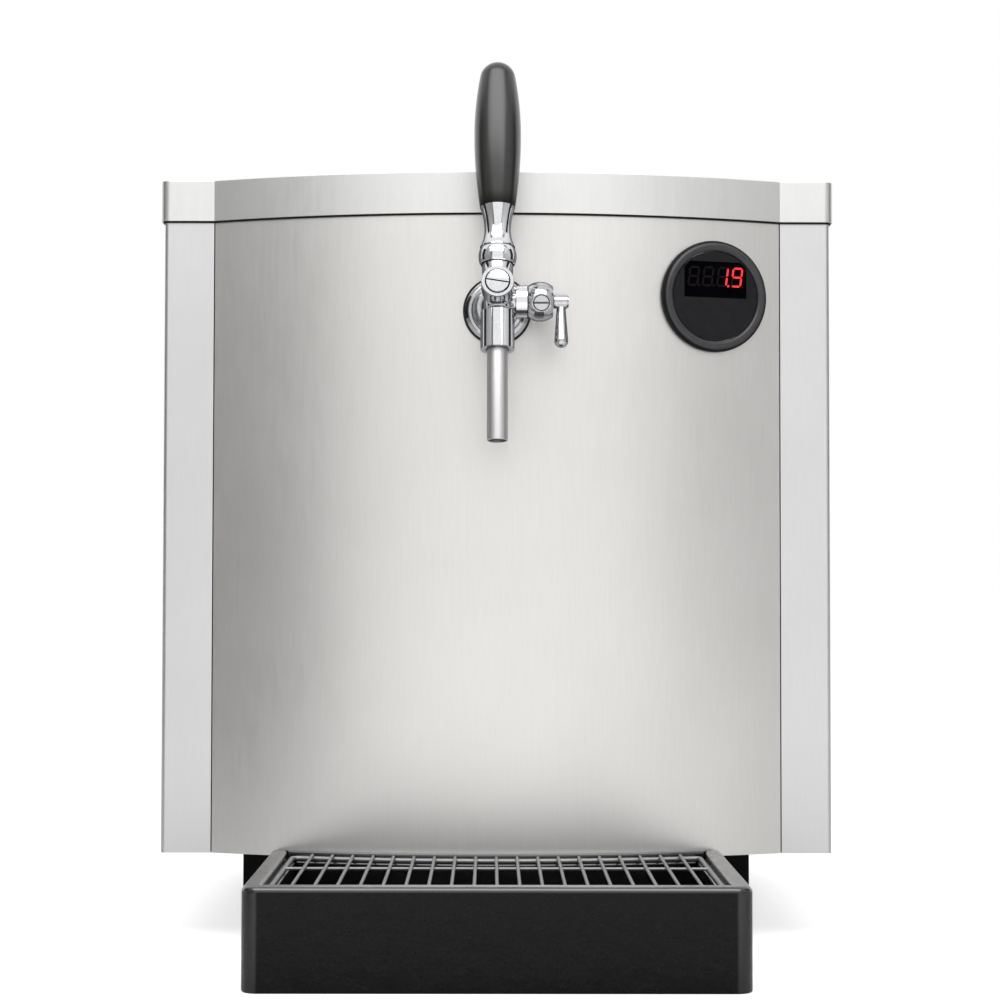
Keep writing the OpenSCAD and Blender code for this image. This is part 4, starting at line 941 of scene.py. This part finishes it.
# The drip tray: a vacuum-formed black basin with a wide rim and a skirt, whose rear follows the bulge.
# Its edges are soft, and the plastic keeps a faint uneven surface, rubbed bright on the rim and corners.
tray_low, tray_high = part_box("drip_tray")
tray_half = tray_high.x
tray_front = tray_low.y
tray_top = tray_high.z
tray_gap = 0.0006
tray_corner = 0.0105
least_tray_corner = 0.003
horn_wide = 0.006
horn_corner = 0.003
least_horn_corner = 0.001
horn_space = 0.0004
tray_corner_steps = 10
tray_arc_steps = 80
tray_sharp = 40
rim_wide = 0.012
rear_rim = 0.008
ledge_wide = 0.006
ledge_drop = 0.0061
tray_skin = 0.0026
basin_floor = 0.005
rim_round = 0.0038
rim_inner_round = 0.0022
foot_round = 0.0015
under_lift = 0.0003
ledge_fillet = 0.0006
ledge_round = 0.0015
floor_round = 0.005
wet_polish = 0.5
corner_polish = 0.45
tray_coat_rough = 0.2
tray_coat_ior = 1.8
horn_y = arc_y - sqrt((arc_r + tray_gap) ** 2 - (tray_half - horn_wide) ** 2)


def bulged_outline(half, front, rear, corner, horn, arc, steps):
    """A rectangle with rounded corners in front and horns at the rear, where an arc joins them."""
    points = quarter_round(-half + corner, front + corner, corner, 180, steps)
    points += quarter_round(half - corner, front + corner, corner, 270, steps)
    points += quarter_round(half - horn, rear - horn, horn, 0, steps)
    return points + arc + quarter_round(-half + horn, rear - horn, horn, 90, steps)


def tray_path(inset, rear_inset, height):
    half = tray_half - inset
    front = tray_front + inset
    rear = horn_y - rear_inset
    radius = arc_r + tray_gap + rear_inset
    corner = max(tray_corner - inset, least_tray_corner)
    horn = max(horn_corner - inset, least_horn_corner)
    inner = min(sqrt(radius * radius - (arc_y - rear) ** 2), half - horn - horn_space)
    sweep = asin(inner / radius)
    arc = bulge_arc(radius, sweep, -sweep, tray_arc_steps)
    points = bulged_outline(half, front, rear, corner, horn, arc, tray_corner_steps)
    return [(x, y, height) for x, y in points]


def rounded_edge(inset_from, height_from, inset_to, height_to, turn, steps=6):
    """A quarter round between two places, which starts along the wall if turn is out, else along the top."""
    places = []
    for i in range(steps + 1):
        a = radians(90 * i / steps)
        across = 1 - cos(a) if turn == "out" else sin(a)
        along = sin(a) if turn == "out" else 1 - cos(a)
        inset = inset_from + (inset_to - inset_from) * across
        places.append((inset, height_from + (height_to - height_from) * along))
    return places


ledge = tray_top - ledge_drop
basin = rim_wide + ledge_wide
under = ledge - tray_skin
dull = [(basin - tray_skin, under_lift), (basin - tray_skin, under), (tray_skin, under), (tray_skin, 0)]
dull += rounded_edge(foot_round, 0, 0, foot_round, "in")
rubbed = rounded_edge(0, tray_top - rim_round, rim_round, tray_top, "out")
rubbed += rounded_edge(rim_wide - rim_inner_round, tray_top, rim_wide, tray_top - rim_inner_round, "in")
rubbed += [(rim_wide, ledge + ledge_fillet), (rim_wide + ledge_fillet, ledge), (basin - ledge_round, ledge)]
rubbed += rounded_edge(basin - ledge_round, ledge, basin, ledge - ledge_round, "in")
wet = rounded_edge(basin, basin_floor + floor_round, basin + floor_round, basin_floor, "out")
ring_polish = [0] * (len(dull) + 1) + [1] * (len(rubbed) - 1) + [wet_polish] * len(wet)
tray_rings = []
tray_polish = []
for (inset, height), gloss in zip(dull + rubbed + wet, ring_polish):
    past_round = max(inset - rim_round, 0)
    rear_inset = min(inset, rim_round) + past_round * (rear_rim - rim_round) / (rim_wide - rim_round)
    if inset > rim_wide:
        rear_inset = rear_rim + inset - rim_wide
    tray_ring = tray_path(inset, rear_inset, height)
    tray_rings.append(tray_ring)
    for x, y, z in tray_ring:
        on_corner = abs(x) > tray_half - tray_corner and y < tray_front + tray_corner
        tray_polish.append(max(gloss, corner_polish) if on_corner else gloss)
tray_basin = ring_skin("tray_basin", tray_rings, sharp=tray_sharp, polish=tray_polish)
tray_black = moulded("tray_black", (0.0028, 0.0028, 0.0036), (0.0052, 0.0052, 0.0062),
                     rough=(0.16, 0.3), grain=0.35, size=420, shine=0.16, uneven=0.45)
polish_read = add_node(tray_black.node_tree, "ShaderNodeAttribute", {}, attribute_name="polish")
feed(shader_of(tray_black), {"Coat Weight": polish_read.outputs["Fac"],
                             "Coat Roughness": tray_coat_rough, "Coat IOR": tray_coat_ior})
tray_basin.data.materials.append(tray_black)
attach(tray_basin, "tray")
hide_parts("drip_tray")


# The grille: thin wires welded on a cross wire and a frame of thicker wire, which lies on the tray's ledge.
# It is bright zinc-plated steel, with the cut wire ends showing at the front; its colour is kept much darker
# than the plating, a painted shade.
grille_low, grille_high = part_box("drip_grille")
wire_count = 19
wire_r = 0.0011
wire_sides = 12
wire_past = 0.0012
frame_r = 0.00165
frame_sides = 14
frame_space = 0.0002
frame_corner = 0.004
frame_corner_steps = 6
frame_arc_steps = 60
rear_play = 0.002
weld_sink = 0.0004
cross_in = 0.048
grille_sharp = radians(50)
frame_half = grille_high.x - frame_r - frame_space
frame_front = grille_low.y + frame_r + frame_space
frame_z = grille_low.z + frame_r + frame_space
frame_rear_r = arc_r + tray_gap + rear_rim + rear_play + frame_r
wire_z = grille_high.z - wire_r
cross_y = arc_y - frame_rear_r - cross_in
cross_z = wire_z - 2 * wire_r + weld_sink
grille_sizes = {
    "Wire Radius": wire_r, "Frame Radius": frame_r, "Half Width": frame_half,
    "Front": frame_front - wire_past, "Rear Radius": frame_rear_r, "Rear Centre": arc_y,
    "Wire Height": wire_z, "Cross Place": cross_y, "Cross Height": cross_z}
group, given, end = new_group(
    "wire_grille", "GeometryNodeTree",
    {"Geometry": "Geometry", **dict.fromkeys(grille_sizes, "Float"), "Wires": "Int", "Finish": "Material"},
    {"Geometry": "Geometry"})


def spot(x, y, z):
    return add_node(group, "ShaderNodeCombineXYZ", {"X": x, "Y": y, "Z": z}).outputs[0]


def tube(curve, radius, sides, capped):
    circle = add_node(group, "GeometryNodeCurvePrimitiveCircle", {"Resolution": sides, "Radius": radius})
    inputs = {"Curve": curve, "Profile Curve": circle.outputs["Curve"], "Fill Caps": capped}
    return add_node(group, "GeometryNodeCurveToMesh", inputs).outputs["Mesh"]


def joined(*parts):
    whole = add_node(group, "GeometryNodeJoinGeometry", {})
    for part in parts:
        feed(whole, {"Geometry": part})
    return whole.outputs["Geometry"]


frame_curve = add_node(group, "GeometryNodeMeshToCurve", {"Mesh": given["Geometry"]})
frame_tube = tube(frame_curve.outputs["Curve"], given["Frame Radius"], frame_sides, False)
half = given["Half Width"]
step = maths("DIVIDE", maths("MULTIPLY", half, 2), maths("ADD", given["Wires"], 1))
number = add_node(group, "GeometryNodeInputIndex", {})
gaps = maths("ADD", number.outputs[0], 1)
place_x = maths("SUBTRACT", maths("MULTIPLY", gaps, step), half)
radius_square = maths("POWER", given["Rear Radius"], 2)
inside = maths("SUBTRACT", radius_square, maths("POWER", place_x, 2))
rear = maths("SUBTRACT", given["Rear Centre"], maths("SQRT", inside))
places = spot(place_x, given["Front"], given["Wire Height"])
points = add_node(group, "GeometryNodePoints", {"Count": given["Wires"], "Position": places})
lengths = spot(1, maths("SUBTRACT", rear, given["Front"]), 1)
kept = add_node(group, "GeometryNodeStoreNamedAttribute",
                {"Geometry": points.outputs[0], "Name": "stretch", "Value": lengths},
                data_type="FLOAT_VECTOR", domain="POINT")
stretch = add_node(group, "GeometryNodeInputNamedAttribute", {"Name": "stretch"},
                   data_type="FLOAT_VECTOR")
line = add_node(group, "GeometryNodeCurvePrimitiveLine", {"End": (0, 1, 0)})
wires = add_node(group, "GeometryNodeInstanceOnPoints", {
    "Points": kept.outputs["Geometry"], "Instance": line.outputs["Curve"],
    "Scale": stretch.outputs["Attribute"]})
wire_lines = add_node(group, "GeometryNodeRealizeInstances", {"Geometry": wires.outputs["Instances"]})
left, right = [spot(maths("MULTIPLY", half, side), given["Cross Place"], given["Cross Height"])
               for side in (-1, 1)]
cross_line = add_node(group, "GeometryNodeCurvePrimitiveLine", {"Start": left, "End": right})
all_lines = joined(wire_lines.outputs["Geometry"], cross_line.outputs["Curve"])
wire_tube = tube(all_lines, given["Wire Radius"], wire_sides, True)
end_group(end, joined(frame_tube, wire_tube), given["Finish"])

corner_x = frame_half - frame_corner
frame_rear = arc_y - sqrt(frame_rear_r ** 2 - corner_x ** 2)
frame_sweep = asin(corner_x / frame_rear_r)
frame_arc = bulge_arc(frame_rear_r, frame_sweep, -frame_sweep, frame_arc_steps)[1:-1]
loop = bulged_outline(frame_half, frame_front, frame_rear, frame_corner, frame_corner, frame_arc,
                      frame_corner_steps)
edges = [(i, (i + 1) % len(loop)) for i in range(len(loop))]
grille_mesh = bpy.data.meshes.new("grille_wires")
grille_mesh.from_pydata([(x, y, frame_z) for x, y in loop], edges, [])
grille = new_piece("grille_wires", grille_mesh)
# A dark grey colour for bright plating: painted shade for the dark surroundings that the wires reflect.
wire_painted_shade = bright_metal("wire_painted_shade", (0.29, 0.29, 0.295), (0.36, 0.36, 0.365),
                           rough=(0.48, 0.58), wave=0.03, size=300)
run_group(grille, group, {**grille_sizes, "Wires": wire_count, "Finish": wire_painted_shade})
grille.data.shade_smooth()
grille.data.set_sharp_from_angle(angle=grille_sharp)
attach(grille, "grille")
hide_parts("drip_grille")
